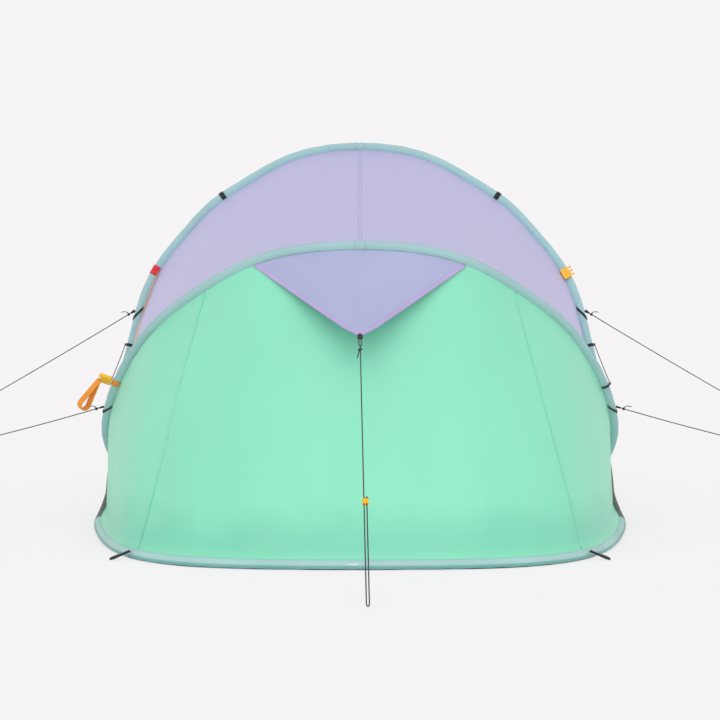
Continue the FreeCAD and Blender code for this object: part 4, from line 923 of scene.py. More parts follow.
def inner_folds(seed, quiet_door=False):
    def folds(point, from_top, from_floor):
        edge = np.minimum(from_top, from_floor)
        calm = np.clip(edge / 0.02, 0, 1)
        hang = cloth_noise(point, (7.0, 3.0, 1.8), seed) * 0.0045
        gather = cloth_noise(point, (30, 14, 16), seed + 4) * near_edge(edge, 0.05) * 0.004
        if quiet_door:
            edge_at = leaning(INNER_DOOR_FOOT, INNER_DOOR_TOP, point[..., 2])
            beside = np.abs(np.abs(point[..., 0]) - edge_at)
            calm = calm * (1 - 0.92 * near_edge(np.maximum(beside - 0.012, 0), 0.03))
        return (hang + gather) * calm
    return folds


inner_cloth = woven_material("inner_tent_cloth", colour(214, 217, 222), 1000, 0.66, 0.25,
                             depth=0.00015, patch=2.0, drift=0.03, dark_share=0.93)
inner_roof_skin = ClothSkin(lambda u: tall.edge(tall.arch(u), INNER_GAP, -0.0008),
                            lambda u: low.edge(low.arch(u), INNER_GAP, 0.0008), 0.0,
                            inner_folds(61.0))
inner_low_skin = ClothSkin(lambda u: low.edge(low.arch(u), INNER_GAP, -0.0008), inner_foot(tall, 1),
                           0.0, inner_folds(67.0))
inner_door_skin = ClothSkin(lambda u: tall.edge(tall.arch(u), INNER_GAP, 0.0008),
                            inner_foot(low, -1), 0.0, inner_folds(71.0, True))
for name, skin, node_name, flat, area in (
        ("inner_roof_cloth", inner_roof_skin, "inner_roof", (2.08, 1.09), 1.54),
        ("inner_low_end_cloth", inner_low_skin, "inner_low_end_wall", (2.54, 0.78), 1.45)):
    whole = cloth_grid(skin, INNER_START, 1 - INNER_START, 241, 41)
    cloth_piece(name, whole, lambda p: True, inner_cloth, "inner_cloth", node_name, flat, area)
    whole.free()
whole = cloth_grid(inner_door_skin, INNER_START, 1 - INNER_START, 301, 61)
cut_along(whole, opening_cuts(INNER_DOOR_FOOT, INNER_DOOR_TOP, DOOR_GAP, DOOR_GAP))


def in_inner_door(p, wider):
    return in_opening(p, INNER_DOOR_FOOT, INNER_DOOR_TOP, wider, wider)


cloth_piece("inner_door_end_cloth", whole, lambda p: not in_inner_door(p, DOOR_GAP / 2),
            inner_cloth, "inner_cloth", "inner_door_end_wall", (2.16, 1.38), 1.75)
cloth_piece("inner_door_cloth", whole, lambda p: in_inner_door(p, -DOOR_GAP / 2), inner_cloth,
            "inner_cloth", "inner_door", (0.585, 0.84), 0.43, body="inner_door")
whole.free()

# The inner door is joined to the wall under it by a strip of the same cloth, its hinge.
u, v = level_path(inner_door_skin, INNER_DOOR_FOOT, INNER_DOOR_TOP, -0.003, INNER_DOOR_FOOT[1],
                  INNER_START)
offsets = np.linspace(-0.010, 0.010, 13)
section = [(a, -0.0009 - 0.0008 * math.exp(-(a / 0.003) ** 2)) for a in offsets]
section += [(a, 0.0004) for a in offsets[::-1]]
strip, place, _ = hinge_strip("inner_door_hinge_strip", inner_door_skin, u, v, -0.0008, (0, 0, 1),
                              section, inner_cloth)
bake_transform(strip)

# ---- Groundsheet -------------------------------------------------------------------------------
# Grey coated cloth lying on the ground inside the floor tapes, a little rumpled and flatter at its
# edge.
SHEET_GAP = 0.0019
ends = []
for hoop, inside, last in ((tall, 1, 0.10), (low, -1, 0.14)):
    point, _, _, side = hoop.frame(hoop.base(np.linspace(last, 1 - last, 61)))
    ends.append((point + unit(side * LEVEL) * inside * SHEET_GAP)[:, :2])
low_run, door_run = ends
crossover = np.linspace(0, 1, 14)[1:-1, None]
right_run = low_run[0] + (door_run[0] - low_run[0]) * crossover
left_run = low_run[-1] + (door_run[-1] - low_run[-1]) * crossover
outline = np.concatenate([low_run, door_run, right_run, left_run])
outline = outline[np.argsort(np.arctan2(outline[:, 1], outline[:, 0]))]
turns = np.arctan2(outline[:, 1], outline[:, 0])
reach = np.linalg.norm(outline, axis=1)
angles = np.linspace(-math.pi, math.pi, 361)[:-1]
reach = np.interp(angles, np.concatenate([turns - 2 * math.pi, turns, turns + 2 * math.pi]),
                  np.concatenate([reach] * 3))
sheet = bmesh.new()
layer = sheet.loops.layers.uv.new("UVMap")
hub = sheet.verts.new((0, 0, 0.0030))
circles = []
for share in np.linspace(0.03, 1.0, 52):
    spots = np.stack([np.cos(angles) * reach * share, np.sin(angles) * reach * share,
                      np.zeros(len(angles))], axis=-1)
    rumple = np.abs(cloth_noise(spots, (3.5, 3.5, 1), 81.0)) * 0.0022 + 0.0016
    rumple += np.maximum(cloth_noise(spots, (14, 9, 1), 87.0), 0) * 0.0016
    spots[:, 2] = rumple * (1 if share < 0.985 else 0.6)
    circles.append([sheet.verts.new(spot) for spot in spots])
for i in range(len(angles)):
    k = (i + 1) % len(angles)
    sheet.faces.new((hub, circles[0][i], circles[0][k]))
    for a, b in zip(circles, circles[1:]):
        sheet.faces.new((a[i], b[i], b[k], a[k]))
for face in sheet.faces:
    for loop in face.loops:
        loop[layer].uv = loop.vert.co.xy
ground_cloth = woven_material("groundsheet_cloth", colour(118, 124, 130), 500, 0.48, 0.05,
                              depth=0.0003, patch=3.0, drift=0.08, dark_share=0.84)
cloth_piece("groundsheet_cloth", sheet, lambda p: True, ground_cloth, "ground_cloth", "groundsheet",
            (1.50, 2.31), 2.85, thickness=0.0007)
sheet.free()

# ---- Stitching ---------------------------------------------------------------------------------
# Lockstitch in matching thread holds the tapes shut, fells the seams and binds the hems. Each
# stitch is a short raised bar of thread, set at an even spacing along its row.
STITCH = (0.0052, 0.0034, 0.00028)      # spacing, length and radius of a stitch


def row_tree(name, material):
    """Sets a short round bar at even spaces along rows of points, each lying the row's own way."""
    tree = bpy.data.node_groups.new(name, "GeometryNodeTree")
    tree.is_modifier = True
    tree.interface.new_socket("Rows", in_out="INPUT", socket_type="NodeSocketGeometry")
    sockets = [tree.interface.new_socket(label, in_out="INPUT",
                                         socket_type="NodeSocketFloat").identifier
               for label in ("Spacing", "Bar length", "Bar radius")]
    tree.interface.new_socket("Bars", in_out="OUTPUT", socket_type="NodeSocketGeometry")
    node = node_maker(tree)
    way_in = node("NodeGroupInput").outputs
    curve = node("GeometryNodeMeshToCurve", {"Mesh": way_in["Rows"]})
    evenly = node("GeometryNodeResampleCurve", {"Curve": curve.outputs["Curve"],
                                                "Length": way_in["Spacing"]}, mode="LENGTH")
    bar = node("GeometryNodeMeshCylinder", {"Vertices": 5, "Depth": way_in["Bar length"],
                                            "Radius": way_in["Bar radius"]})
    lay = node("GeometryNodeInputNamedAttribute", {"Name": "lay"}, data_type="FLOAT_VECTOR")
    turn = node("FunctionNodeAlignRotationToVector", {"Vector": lay.outputs["Attribute"]}, axis="Z")
    place = node("GeometryNodeInstanceOnPoints", {"Points": evenly.outputs["Curve"],
                                                  "Instance": bar.outputs["Mesh"],
                                                  "Rotation": turn.outputs["Rotation"]})
    real = node("GeometryNodeRealizeInstances", {"Geometry": place.outputs["Instances"]})
    finish = node("GeometryNodeSetMaterial", {"Geometry": real.outputs["Geometry"],
                                              "Material": material})
    node("NodeGroupOutput", {"Bars": finish.outputs["Geometry"]})
    return tree, sockets


def plain_mesh(made):
    """The mesh of a curve, or of a piece with its modifiers applied."""
    depsgraph = bpy.context.evaluated_depsgraph_get()
    return bpy.data.meshes.new_from_object(made.evaluated_get(depsgraph), depsgraph=depsgraph)


def row_bars(name, rows, material, slot, body="tent", sizes=STITCH, across=False):
    """Bars along rows of points; they lie along the row, or across it."""
    verts, edges, lays = [], [], []
    for point, normal in rows:
        along, side = lie_of(point, normal)
        edges += [(len(verts) + k, len(verts) + k + 1) for k in range(len(point) - 1)]
        lays += list(side if across else along)
        verts += point.tolist()
    mesh = bpy.data.meshes.new(name)
    mesh.from_pydata(verts, edges, [])
    lay = mesh.attributes.new("lay", "FLOAT_VECTOR", "POINT")
    lay.data.foreach_set("vector", np.array(lays).ravel())
    made = new_object(name, mesh)
    modifier = made.modifiers.new("rows", "NODES")
    modifier.node_group, sockets = row_tree(name + "_rows", material)
    for socket, value in zip(sockets, sizes):
        modifier[socket] = value
    made.data = plain_mesh(made)
    made.modifiers.clear()
    finish_piece(made, material, slot, body)


def thread_material(name, tone):
    return solid_material(name, tone, 90.0, 0.12, (2200.0, 1.0), 0.6, (0.3, 0.0001), sheen=0.2)


def tape_rows(hoop, stretch, off_rod=-0.0090, height=0.0011):
    """Two rows of stitches that close a tape, one on each of its faces."""
    first, last = stretch
    t = np.linspace(first, last, max(12, int((last - first) / 0.02)))
    point, _, out, side = hoop.frame(t)
    return [(point + out * off_rod + side * height * face, side * face) for face in (1, -1)]


pale_thread = thread_material("pale_thread", colour(150, 190, 190))
green_thread = thread_material("green_thread", colour(112, 206, 172))
dark_thread = thread_material("dark_thread", colour(70, 72, 75))
lilac_thread = thread_material("lilac_thread", colour(176, 168, 212))
pale_rows, dark_rows = [], []
for hoop, breaks in ((tall, TALL_BREAKS), (low, LOW_BREAKS)):
    over, right, left, floor = tape_stretches(hoop, *breaks)
    pale_rows += tape_rows(hoop, over) + tape_rows(hoop, floor)
    dark_rows += tape_rows(hoop, right) + tape_rows(hoop, left)
row_bars("tape_stitches", pale_rows, pale_thread, "pale_tape")
row_bars("dark_tape_stitches", dark_rows, dark_thread, "dark_tape")
row_bars("end_panel_stitches", tent_rows, green_thread, "green_cloth")
row_bars("door_hem_stitches", door_rows, green_thread, "green_cloth", "outer_door")

# The two lengths of each tape meet at the arch's top, where one end is lapped over the other.
LAP, LAP_RISE = 0.013, 0.0006
for hoop, name in ((tall, "tall"), (low, "low")):
    made = folded_tape(name + "_tape_lap", hoop, hoop.top - LAP, hoop.top + LAP)
    for vertex in made.data.vertices:
        point = hoop.frame(hoop.top + np.clip(-vertex.co.x, -LAP, LAP))[0]
        away = Vector(np.array(vertex.co) - point)
        away.x = 0
        vertex.co += away.normalized() * LAP_RISE
    finish_piece(made, pale_tape, "pale_tape")

# ---- Tags and bands on the tapes ---------------------------------------------------------------
# Strips of webbing folded over the tape's free edge and sewn through it: two dark tags and a red
# one on the tall arch, and the bands that carry the guy lines, the brace cords and the buckles.
WEB = 0.0016
BAND_FOLD = 0.0121              # from the rod's centre out to where a band folds over the tape
BAND_END = 0.0100               # from the rod's centre back to the band's ends
DARK_TAG_SHARES = (0.33836, 0.66164)
RED_TAG_SHARE = 0.77177


def folded_band(name, hoop, t, length, material, slot, body="tent", stands_for=(), slant=0.0):
    """A strip folded over the tape; a slant pulls its outer edge along the tape."""
    stations = np.linspace(t - length / 2, t + length / 2, max(6, int(length / 0.0024)))
    upper = [(a, b + 0.0003) for a, b in TAPE_SECTION if a > -BAND_END]
    inner = [(BAND_FOLD, 0.0)] + upper
    outer = [(BAND_FOLD + WEB, 0.0)]
    outer += [(a + WEB * 0.7 * max(0.0, a) / (TAPE_WIDTH / 2), b + WEB) for a, b in upper]
    upper_half = outer + inner[::-1]
    loop = upper_half + [(a, -b) for a, b in inner[1:] + outer[:0:-1]]
    rings = []
    for a, b in loop:
        point, _, out, side = hoop.frame(stations + slant * (a + BAND_END) / (BAND_FOLD + BAND_END))
        rings.append(point + out * a + side * b)
    finish_piece(ring_mesh(name, np.stack(rings, axis=1)), material, slot, body, stands_for)


black_webbing = woven_material("black_webbing", colour(34, 34, 37), 560, 0.75, 0.25, depth=0.0004,
                               patch=30.0, drift=0.10, dark_share=0.60)
red_webbing = woven_material("red_webbing", colour(226, 44, 52), 560, 0.65, 0.25, depth=0.0004,
                             patch=30.0, drift=0.06, dark_share=0.72)
orange_webbing = woven_material("orange_webbing", colour(250, 152, 20), 520, 0.60, 0.25,
                                depth=0.0004, patch=20.0, drift=0.07, dark_share=0.74)
for share, name in zip(DARK_TAG_SHARES, ("right", "left")):
    folded_band("dark_tag_" + name, tall, tall.arch(share), 0.014, black_webbing, "black_webbing",
                stands_for=["dark_tape_tags"])
folded_band("red_pull_tag", tall, tall.arch(RED_TAG_SHARE), 0.028, red_webbing, "red_webbing",
            stands_for=["red_tape_tag"])

# ---- Guy lines ---------------------------------------------------------------------------------
# Four dark braided polyester lines, 2.6 mm thick, run from webbing tabs on the arches down to pegs
# beyond the tent. Each ends in a knotted loop for its peg.
GUY = 0.0026


def tube(name, points, radius, sides=10, closed=False):
    """A round tube through points, with a map in metres along and around it."""
    points = np.asarray(points, float)
    if closed:
        along = unit(np.roll(points, -1, axis=0) - np.roll(points, 1, axis=0))
    else:
        along = unit(np.gradient(points, axis=0))
    across = [across_of(UPRIGHT if abs(along[0, 2]) < 0.9 else np.array([1.0, 0, 0]), along[0])]
    for a in along[1:]:
        across.append(across_of(across[-1], a))
    across = np.array(across)
    turns = np.linspace(0, 2 * math.pi, sides, endpoint=False)
    rings = swept(points, across, np.cross(along, across),
                  [(radius * math.cos(w), radius * math.sin(w)) for w in turns])
    if closed:
        rings = np.concatenate([rings, rings[:1]])
    return ring_mesh(name, rings, not closed)


def cord_line(name, route, diameter):
    """A cord as a smooth line through space, round in section."""
    line = bpy.data.curves.new(name, "CURVE")
    line.dimensions = "3D"
    line.bevel_depth = diameter / 2
    line.bevel_resolution = 4
    line.resolution_u = 16
    line.use_fill_caps = True
    spline = line.splines.new("NURBS")
    spline.points.add(len(route) - 1)
    for spot, place in zip(spline.points, route):
        spot.co = (*place, 1.0)
    spline.order_u = 3
    spline.use_endpoint_u = True
    return new_object(name, line)


def overhand_knot(name, centre, way, knot_size, thick, stands_for=()):
    """A tight knot of dark cord round its line."""
    way = unit(way)
    across = unit(np.cross(way, np.array([0.3, 1.0, 0.2])))
    w = np.linspace(0, 2 * math.pi, 61)[:-1, None]
    points = (centre + across * ((np.sin(w) + 2 * np.sin(2 * w)) / 3 * knot_size)
              + way * ((np.cos(w) - 2 * np.cos(2 * w)) / 3 * knot_size)
              - np.cross(way, across) * (np.sin(3 * w) * knot_size * 0.45))
    return finish_piece(tube(name, points, thick, 8, closed=True), dark_cord, "dark_cord",
                        stands_for=stands_for)


dark_cord, shader, node = new_material("dark_braided_cord")
place = node("ShaderNodeTexCoord").outputs["Object"]
strands = node("ShaderNodeTexWave", {"Vector": place, "Scale": 160.0, "Distortion": 2.0,
                                     "Detail": 1.0}, bands_direction="DIAGONAL")
crossing = node("ShaderNodeTexVoronoi", {"Vector": place, "Scale": 900.0})
braid = node("ShaderNodeMix", {"Factor": 0.45, "A": strands.outputs["Fac"],
                               "B": crossing.outputs["Distance"]}).outputs["Result"]
drifted = toned(node, colour(42, 43, 47), 40.0, 0.16)
shaded = node("ShaderNodeVectorMath", {0: drifted.outputs["Colour"],
                                       "Scale": ranged(node, braid, 0.62, 1.2)}, operation="SCALE")
bump = node("ShaderNodeBump", {"Height": braid, "Strength": 0.5, "Distance": 0.0003})
fill(shader, {"Base Color": shaded.outputs["Vector"], "Normal": bump.outputs["Normal"],
              "Roughness": 0.62, "Sheen Weight": 0.25})

# Each row: the hoop, the band's share of its arch, the tab's root, the line's start and end on the
# right in metres, and the line's length.
GUY_LINES = (("tall", tall, 0.17887, (0.6572, 0.1826, 0.5949), (0.6660, 0.1841, 0.5898),
              (1.0800, 0.2540, 0.3480), 0.484),
             ("low", low, 0.1208, (0.7110, -0.1826, 0.3394), (0.7210, -0.1834, 0.3367),
              (1.0140, -0.2060, 0.2580), 0.303))
SIDES = ((1, "right"), (-1, "left"))
TAB_SECTION = [(-1, -0.0006), (0, -0.0009), (1, -0.0006), (1, 0.0006), (0, 0.0009), (-1, 0.0006)]
TAB_REACH = 0.0105
GUY_SAG = 0.0035
NEAR_KNOT, FAR_KNOT = 0.0075, -0.004    # how far past the line's two ends its knots lie
LOOP_REACH, LOOP_HALF_LONG, LOOP_HALF_WIDE = 0.0096, 0.0085, 0.0060
BAND_BESIDE, BAND_SLANT = 0.018, 0.036  # the band's place past the share, and its pull
GUY_TAIL = np.array([(0, 0, 0), (0.004, -0.003, 0.006), (0.012, -0.006, 0.008),
                     (0.021, -0.008, 0.006)])
for hoop_name, hoop, share, root, start, end, length in GUY_LINES:
    for side, side_name in SIDES:
        label = hoop_name + "_" + side_name
        t = hoop.arch(share if side > 0 else 1 - share)
        folded_band("guy_band_" + label, hoop, t + side * BAND_BESIDE, 0.012, black_webbing,
                    "black_webbing", stands_for=["guy_tabs"], slant=-side * BAND_SLANT)
        root_at, start_at, end_at = np.array((root, start, end)) * (side, 1, 1)
        way = unit(end_at - start_at)
        flat = across_of(hoop.frame(np.array([t]))[3][0], way)
        run = np.linspace(-0.004, TAB_REACH, 9)[:, None]
        half = 0.0042 - 0.0016 * np.clip(run / TAB_REACH, 0, 1)
        rings = swept(root_at + way * run, np.cross(way, flat) * half, flat, TAB_SECTION)
        finish_piece(ring_mesh("guy_tab_" + label, rings), black_webbing, "black_webbing")
        line = cord_line("guy_cord_" + label,
                         [start_at, (start_at + end_at) / 2 - UPRIGHT * GUY_SAG, end_at], GUY)
        finish_piece(line, dark_cord, "dark_cord", stands_for=["guy_line_" + label])
        near_at = start_at + way * NEAR_KNOT
        near = overhand_knot("guy_knot_" + label, near_at, way, 0.0036, GUY / 2)
        far = overhand_knot("guy_end_knot_" + label, end_at + way * FAR_KNOT, way, 0.0034, GUY / 2)
        w = np.linspace(0, 2 * math.pi, 41)[:-1, None]
        ring = (end_at + way * (LOOP_REACH + LOOP_HALF_LONG * np.cos(w))
                + np.cross(way, np.array([0, 1.0, 0])) * (LOOP_HALF_WIDE * np.sin(w)))
        loop = finish_piece(tube("guy_loop_" + label, ring, GUY / 2, 8, closed=True), dark_cord,
                            "dark_cord", stands_for=["guy_line_end_loops"])
        tail = finish_piece(tube("guy_tail_" + label, near_at + GUY_TAIL * (side, 1, 1),
                                 GUY / 2 * 0.9, 8), dark_cord, "dark_cord")
        tuple(start_at)

# ---- Brace cords -------------------------------------------------------------------------------
# A short dark cord each side runs from the tall arch to the low one and keeps them from spreading.
BRACE_TOP = (0.6804, 0.1665, 0.4999)
BRACE_FOOT = (0.6828, -0.2667, 0.4079)
BRACE_SAG = 0.004
for side, side_name in SIDES:
    bands = [(tall, 0.14222, "top")] + ([(low, 0.1597, "foot")] if side > 0 else [])
    for hoop, share, place_name in bands:
        folded_band("brace_band_%s_%s" % (place_name, side_name), hoop,
                    hoop.arch(share if side > 0 else 1 - share), 0.0085, black_webbing,
                    "black_webbing", stands_for=["brace_cord_tags"])
    first, last = np.array((BRACE_TOP, BRACE_FOOT)) * (side, 1, 1)
    line = cord_line("brace_line_" + side_name,
                     [first, (first + last) / 2 - UPRIGHT * BRACE_SAG, last], GUY)
    finish_piece(line, dark_cord, "dark_cord", stands_for=["brace_cord_" + side_name])
    knots = [overhand_knot("brace_knot_%s_%s" % (place_name, side_name), spot + way * 0.004, way,
                           0.0032, GUY / 2)
             for spot, way, place_name in ((first, unit(last - first), "top"),
                                           (last, unit(first - last), "foot"))]
    tuple(first)

# ---- Pull ribbon -------------------------------------------------------------------------------
# A narrow orange ribbon sewn to the red tag, lying loose down the roof cloth beside the tall arch.
RIBBON_WIDTH = 0.0085
RIBBON_ROUTE = [(-0.5873, 0.1989, 0.7101), (-0.6033, 0.1405, 0.6604), (-0.6193, 0.0827, 0.6007),
                (-0.6329, 0.0840, 0.5612), (-0.6453, 0.0502, 0.5049), (-0.6587, 0.0001, 0.4436)]


def smooth_route(route, name):
    """The points of the smooth line that a flexible piece follows."""
    line = cord_line(name, route, 0.0)
    plain = plain_mesh(line)
    points = np.array([tuple(v.co) for v in plain.vertices])
    bpy.data.objects.remove(line)
    bpy.data.meshes.remove(plain)
    return points


path = smooth_route(RIBBON_ROUTE, "ribbon_route")
along = unit(np.gradient(path, axis=0))
away = across_of(path * np.array([1.0, 0.35, 0.45]), along)
twist = 0.5 * np.sin(np.linspace(0, 6.5, len(path)))[:, None]
face = away * np.cos(twist) + np.cross(along, away) * np.sin(twist)
section = [(-0.5, 0.0004), (0.0, 0.0005), (0.5, 0.0004), (0.5, -0.0004), (0.0, -0.0005),
           (-0.5, -0.0004)]
ribbon = ring_mesh("loose_pull_ribbon",
                   swept(path, np.cross(face, along) * RIBBON_WIDTH, face, section))
ribbon_cloth = woven_material("orange_ribbon", colour(247, 186, 118), 900, 0.5, 0.25, depth=0.0002,
                              patch=18.0, drift=0.06, dark_share=0.85)
finish_piece(ribbon, ribbon_cloth, "orange_webbing", stands_for=["pull_ribbon"])
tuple(RIBBON_ROUTE[0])
[tuple(p) for p in path]

# ---- Awning over the vent, and the rear guy line -----------------------------------------------
# A triangle of lilac cloth sewn to the low arch shades the vent. Its free edges are bound. A line
# from the tab at its tip holds it out: it runs down to a peg, back up, and through a slide.
AWNING_SHARES = (0.40137, 0.59863)
AWNING_TIP = np.array([0.0, -1.0, 0.567])
TIP_HALF = 0.007
AWNING_LIFT = 0.0062


def awning_folds(point, from_arch, from_tip):
    """Folds that run out from the tip and fade towards the arch."""
    turn = np.arctan2(point[..., 0], point[..., 2] - AWNING_TIP[2] + 0.02)
    spread = np.clip(from_tip / 0.12, 0, 1) * np.clip(from_arch / 0.012, 0, 1)
    fan = np.sin(turn * 9.0 + 0.6) * 0.0022 + np.sin(turn * 17.0 + 2.0) * 0.0010
    soft = cloth_noise(point, (7, 5, 7), 93.0) * 0.0018
    pucker = cloth_noise(point, (40, 9, 30), 95.0) * near_edge(from_arch, 0.02) * 0.0018
    return (fan + soft + pucker) * spread


def awning_top(u):
    return low.edge(low.arch(AWNING_SHARES[0] + (AWNING_SHARES[1] - AWNING_SHARES[0]) * u), -0.0006,
                    -AWNING_LIFT * 0.45)


def awning_foot(u):
    u = np.asarray(u, float)
    return AWNING_TIP + np.stack([TIP_HALF * (1 - 2 * u), 0 * u, 0 * u], axis=-1)


awning_skin = ClothSkin(awning_top, awning_foot, -0.006, awning_folds)
# The awning is the roof's lilac cloth, coloured darker and greener than the roof: painted shade,
# with the green panel behind showing through the thin cloth.
shaded_awning_cloth = woven_material("lilac_awning_cloth", colour(172, 177, 214), 1100, 0.50, 0.18,
                              depth=0.00012, patch=4.0, drift=0.03, dark_share=0.95)
whole = cloth_grid(awning_skin, 0.0, 1.0, 121, 61)
cloth_piece("shaded_awning_cloth", whole, lambda p: True, shaded_awning_cloth, "lilac_cloth", "vent_awning",
            (0.43, 0.285), 0.087)
whole.free()
binding_cloth = woven_material("lilac_binding", colour(190, 172, 222), 760, 0.55, 0.22,
                               depth=0.0002, patch=9.0, drift=0.05, dark_share=0.88)
v = np.linspace(0.004, 0.994, 60)
for u_at, name in ((0.0125, "right"), (0.9875, "left")):
    u = np.where(v < 0.9, u_at, u_at + (0.5 - u_at) * np.clip((v - 0.9) / 0.1, 0, 1) * 0.55)
    lilac_rows += seam_strip("awning_binding_" + name, awning_skin, u, v, binding_cloth,
                             "lilac_cloth", width=0.011, lift=-0.0002, thick=0.0014)
row_bars("lilac_stitches", lilac_rows, lilac_thread, "lilac_cloth")

TAB_AT = np.array([0.0001, -1.0059, 0.5622])
TAB_HALF = 0.0068
LINE_WAY = unit(np.array([0.014, -0.690, -0.563]))
LINE_ACROSS = np.array([1.0, 0.0, 0.0])
section = [(-1, -0.0007), (-0.5, -0.0010), (0.5, -0.0010), (1, -0.0007),
           (1, 0.0007), (0.5, 0.0010), (-0.5, 0.0010), (-1, 0.0007)]
rings = swept(TAB_AT + LINE_WAY * np.linspace(-0.011, TAB_HALF, 14)[:, None],
              LINE_ACROSS * TAB_HALF, unit(np.cross(LINE_WAY, LINE_ACROSS)), section)
finish_piece(ring_mesh("awning_tab", rings), black_webbing, "black_webbing",
             stands_for=["awning_tip_tab"])

REAR_GUY = 0.0030
LOOP_TOP = np.array([0.0003, -1.0127, 0.5566])
LOOP_FOOT = np.array([0.0008, -1.0364, 0.5373])
half_long = np.linalg.norm(LOOP_TOP - LOOP_FOOT) / 2 - REAR_GUY * 0.2
w = np.linspace(0, 2 * math.pi, 49)[:-1, None]
narrow = 0.0030 * (1 + 0.75 * np.cos(w))
ring = ((LOOP_TOP + LOOP_FOOT) / 2 - LINE_WAY * (half_long * np.cos(w))
        + LINE_ACROSS * (narrow * np.sin(w)))
finish_piece(tube("awning_cord_loop", ring, REAR_GUY / 2, 10, closed=True), dark_cord, "dark_cord",
             stands_for=["awning_line_loop"])
knot_at = np.array([0.0009, -1.0412, 0.5334])
loop_knot = overhand_knot("rear_line_knot", knot_at, LINE_WAY, 0.0048, REAR_GUY / 2,
                          ["rear_guy_knots"])
rear_tail = np.array([(0, 0, 0), (-0.003, -0.003, -0.005), (-0.005, -0.006, -0.012),
                      (-0.008, -0.008, -0.021)])
knot_tail = finish_piece(tube("rear_knot_tail", knot_at + rear_tail, REAR_GUY / 2 * 0.9, 8),
                         dark_cord, "dark_cord")
REAR_ROUTE = [(0.0008, -1.0411, 0.5334), (0.0136, -1.6731, 0.0178), (0.0140, -1.6900, 0.0040),
              (0.0204, -1.6900, 0.0040), (0.0202, -1.6731, 0.0178), (0.0153, -1.4372, 0.2103)]
rear_line = cord_line("rear_guy_cord", REAR_ROUTE, REAR_GUY)
finish_piece(rear_line, dark_cord, "dark_cord", stands_for=["rear_guy_line"])
stopper = overhand_knot("stopper_knot", np.array([0.0152, -1.4348, 0.2122]), LINE_WAY, 0.0036,
                        REAR_GUY / 2)
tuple(REAR_ROUTE[0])

yellow_plastic = solid_material("yellow_moulding", colour(255, 188, 14), 70.0, 0.06, (1500.0, 3.0),
                                (0.28, 0.52), (0.12, 0.0001))
dress(yellow_plastic, "line_tensioner")

# ---- Buckles and pull handle -------------------------------------------------------------------
# The two halves of the side release buckle that holds the folded tent: the socket hangs on the low
# arch with an orange strap handle, and the plug on the tall arch. Both are yellow mouldings.
SOCKET_SHARE = 0.83431
PLUG_SHARE = 0.22431
folded_band("socket_band", low, low.arch(SOCKET_SHARE), 0.024, orange_webbing, "orange_webbing",
            stands_for=["buckle_webbings"])
folded_band("plug_band", tall, tall.arch(PLUG_SHARE), 0.014, orange_webbing, "orange_webbing")
dress(yellow_plastic, "socket_buckle", "plug_buckle")


def strap_teardrop(root, way, across, length, radius, half_wall, count=72):
    """The middle line of a strap that leaves its root, turns round and comes back to it."""
    lean = math.asin(radius / length)
    touch = np.array([length * math.cos(lean) ** 2, length * math.cos(lean) * math.sin(lean)])
    straight = np.linspace(0.03, 1, count // 4)[:, None] * touch
    centre = np.array([length, 0.0])
    first = math.atan2(touch[1], touch[0] - length)
    w = np.linspace(first, -first, count // 2)[1:-1]
    arc = centre + radius * np.stack([np.cos(w), np.sin(w)], axis=1)
    middle = np.concatenate([straight, arc, straight[::-1] * [1, -1]])
    inward = middle - centre * np.clip(middle[:, :1] / length, 0, 1)
    inward = inward / np.maximum(np.linalg.norm(inward, axis=1, keepdims=True), 1e-6)
    middle = middle - inward * np.minimum(half_wall, np.abs(middle[:, 1:2]) * 0.95)
    return np.array(root) + middle[:, :1] * way + middle[:, 1:] * across


def strap_band(name, path, normal, wall, depth, material, slot, body="tent", stands_for=()):
    """A soft strap along a path in a plane; its wall lies in the plane and its depth across it."""
    _, side = lie_of(path, normal)
    turns = np.linspace(0, 2 * math.pi, 14)[:-1]
    squared = [(math.copysign(abs(math.cos(w)) ** 0.5, math.cos(w)),
                math.copysign(abs(math.sin(w)) ** 0.7, math.sin(w))) for w in turns]
    rings = swept(path, side * (wall / 2), normal * (depth / 2), squared)
    finish_piece(ring_mesh(name, rings), material, slot, body, stands_for)


HANDLE_ROOT = np.array([-0.7119, -0.2865, 0.4267]) + np.array([0.0035, 0, -0.0045])
HANDLE_WAY = unit(np.array([-0.52, -0.10, -0.85]))
HANDLE_TURN = 0.95              # how far the handle is turned about its length, as a tangent
handle_normal = across_of(np.array([0.0, 1.0, 0.0]), HANDLE_WAY)
handle_normal = unit(handle_normal + np.cross(handle_normal, HANDLE_WAY) * HANDLE_TURN)
HANDLE_LENGTH, HANDLE_RADIUS = 0.080, 0.0160
HANDLE_WALL, HANDLE_DEPTH = 0.0028, 0.0220
path = strap_teardrop(HANDLE_ROOT, HANDLE_WAY, np.cross(handle_normal, HANDLE_WAY), HANDLE_LENGTH,
                      HANDLE_RADIUS, HANDLE_WALL / 2)
strap_band("pull_handle", path, handle_normal, HANDLE_WALL, HANDLE_DEPTH, orange_webbing,
           "orange_webbing", "socket_buckle", stands_for=["handle_loop"])

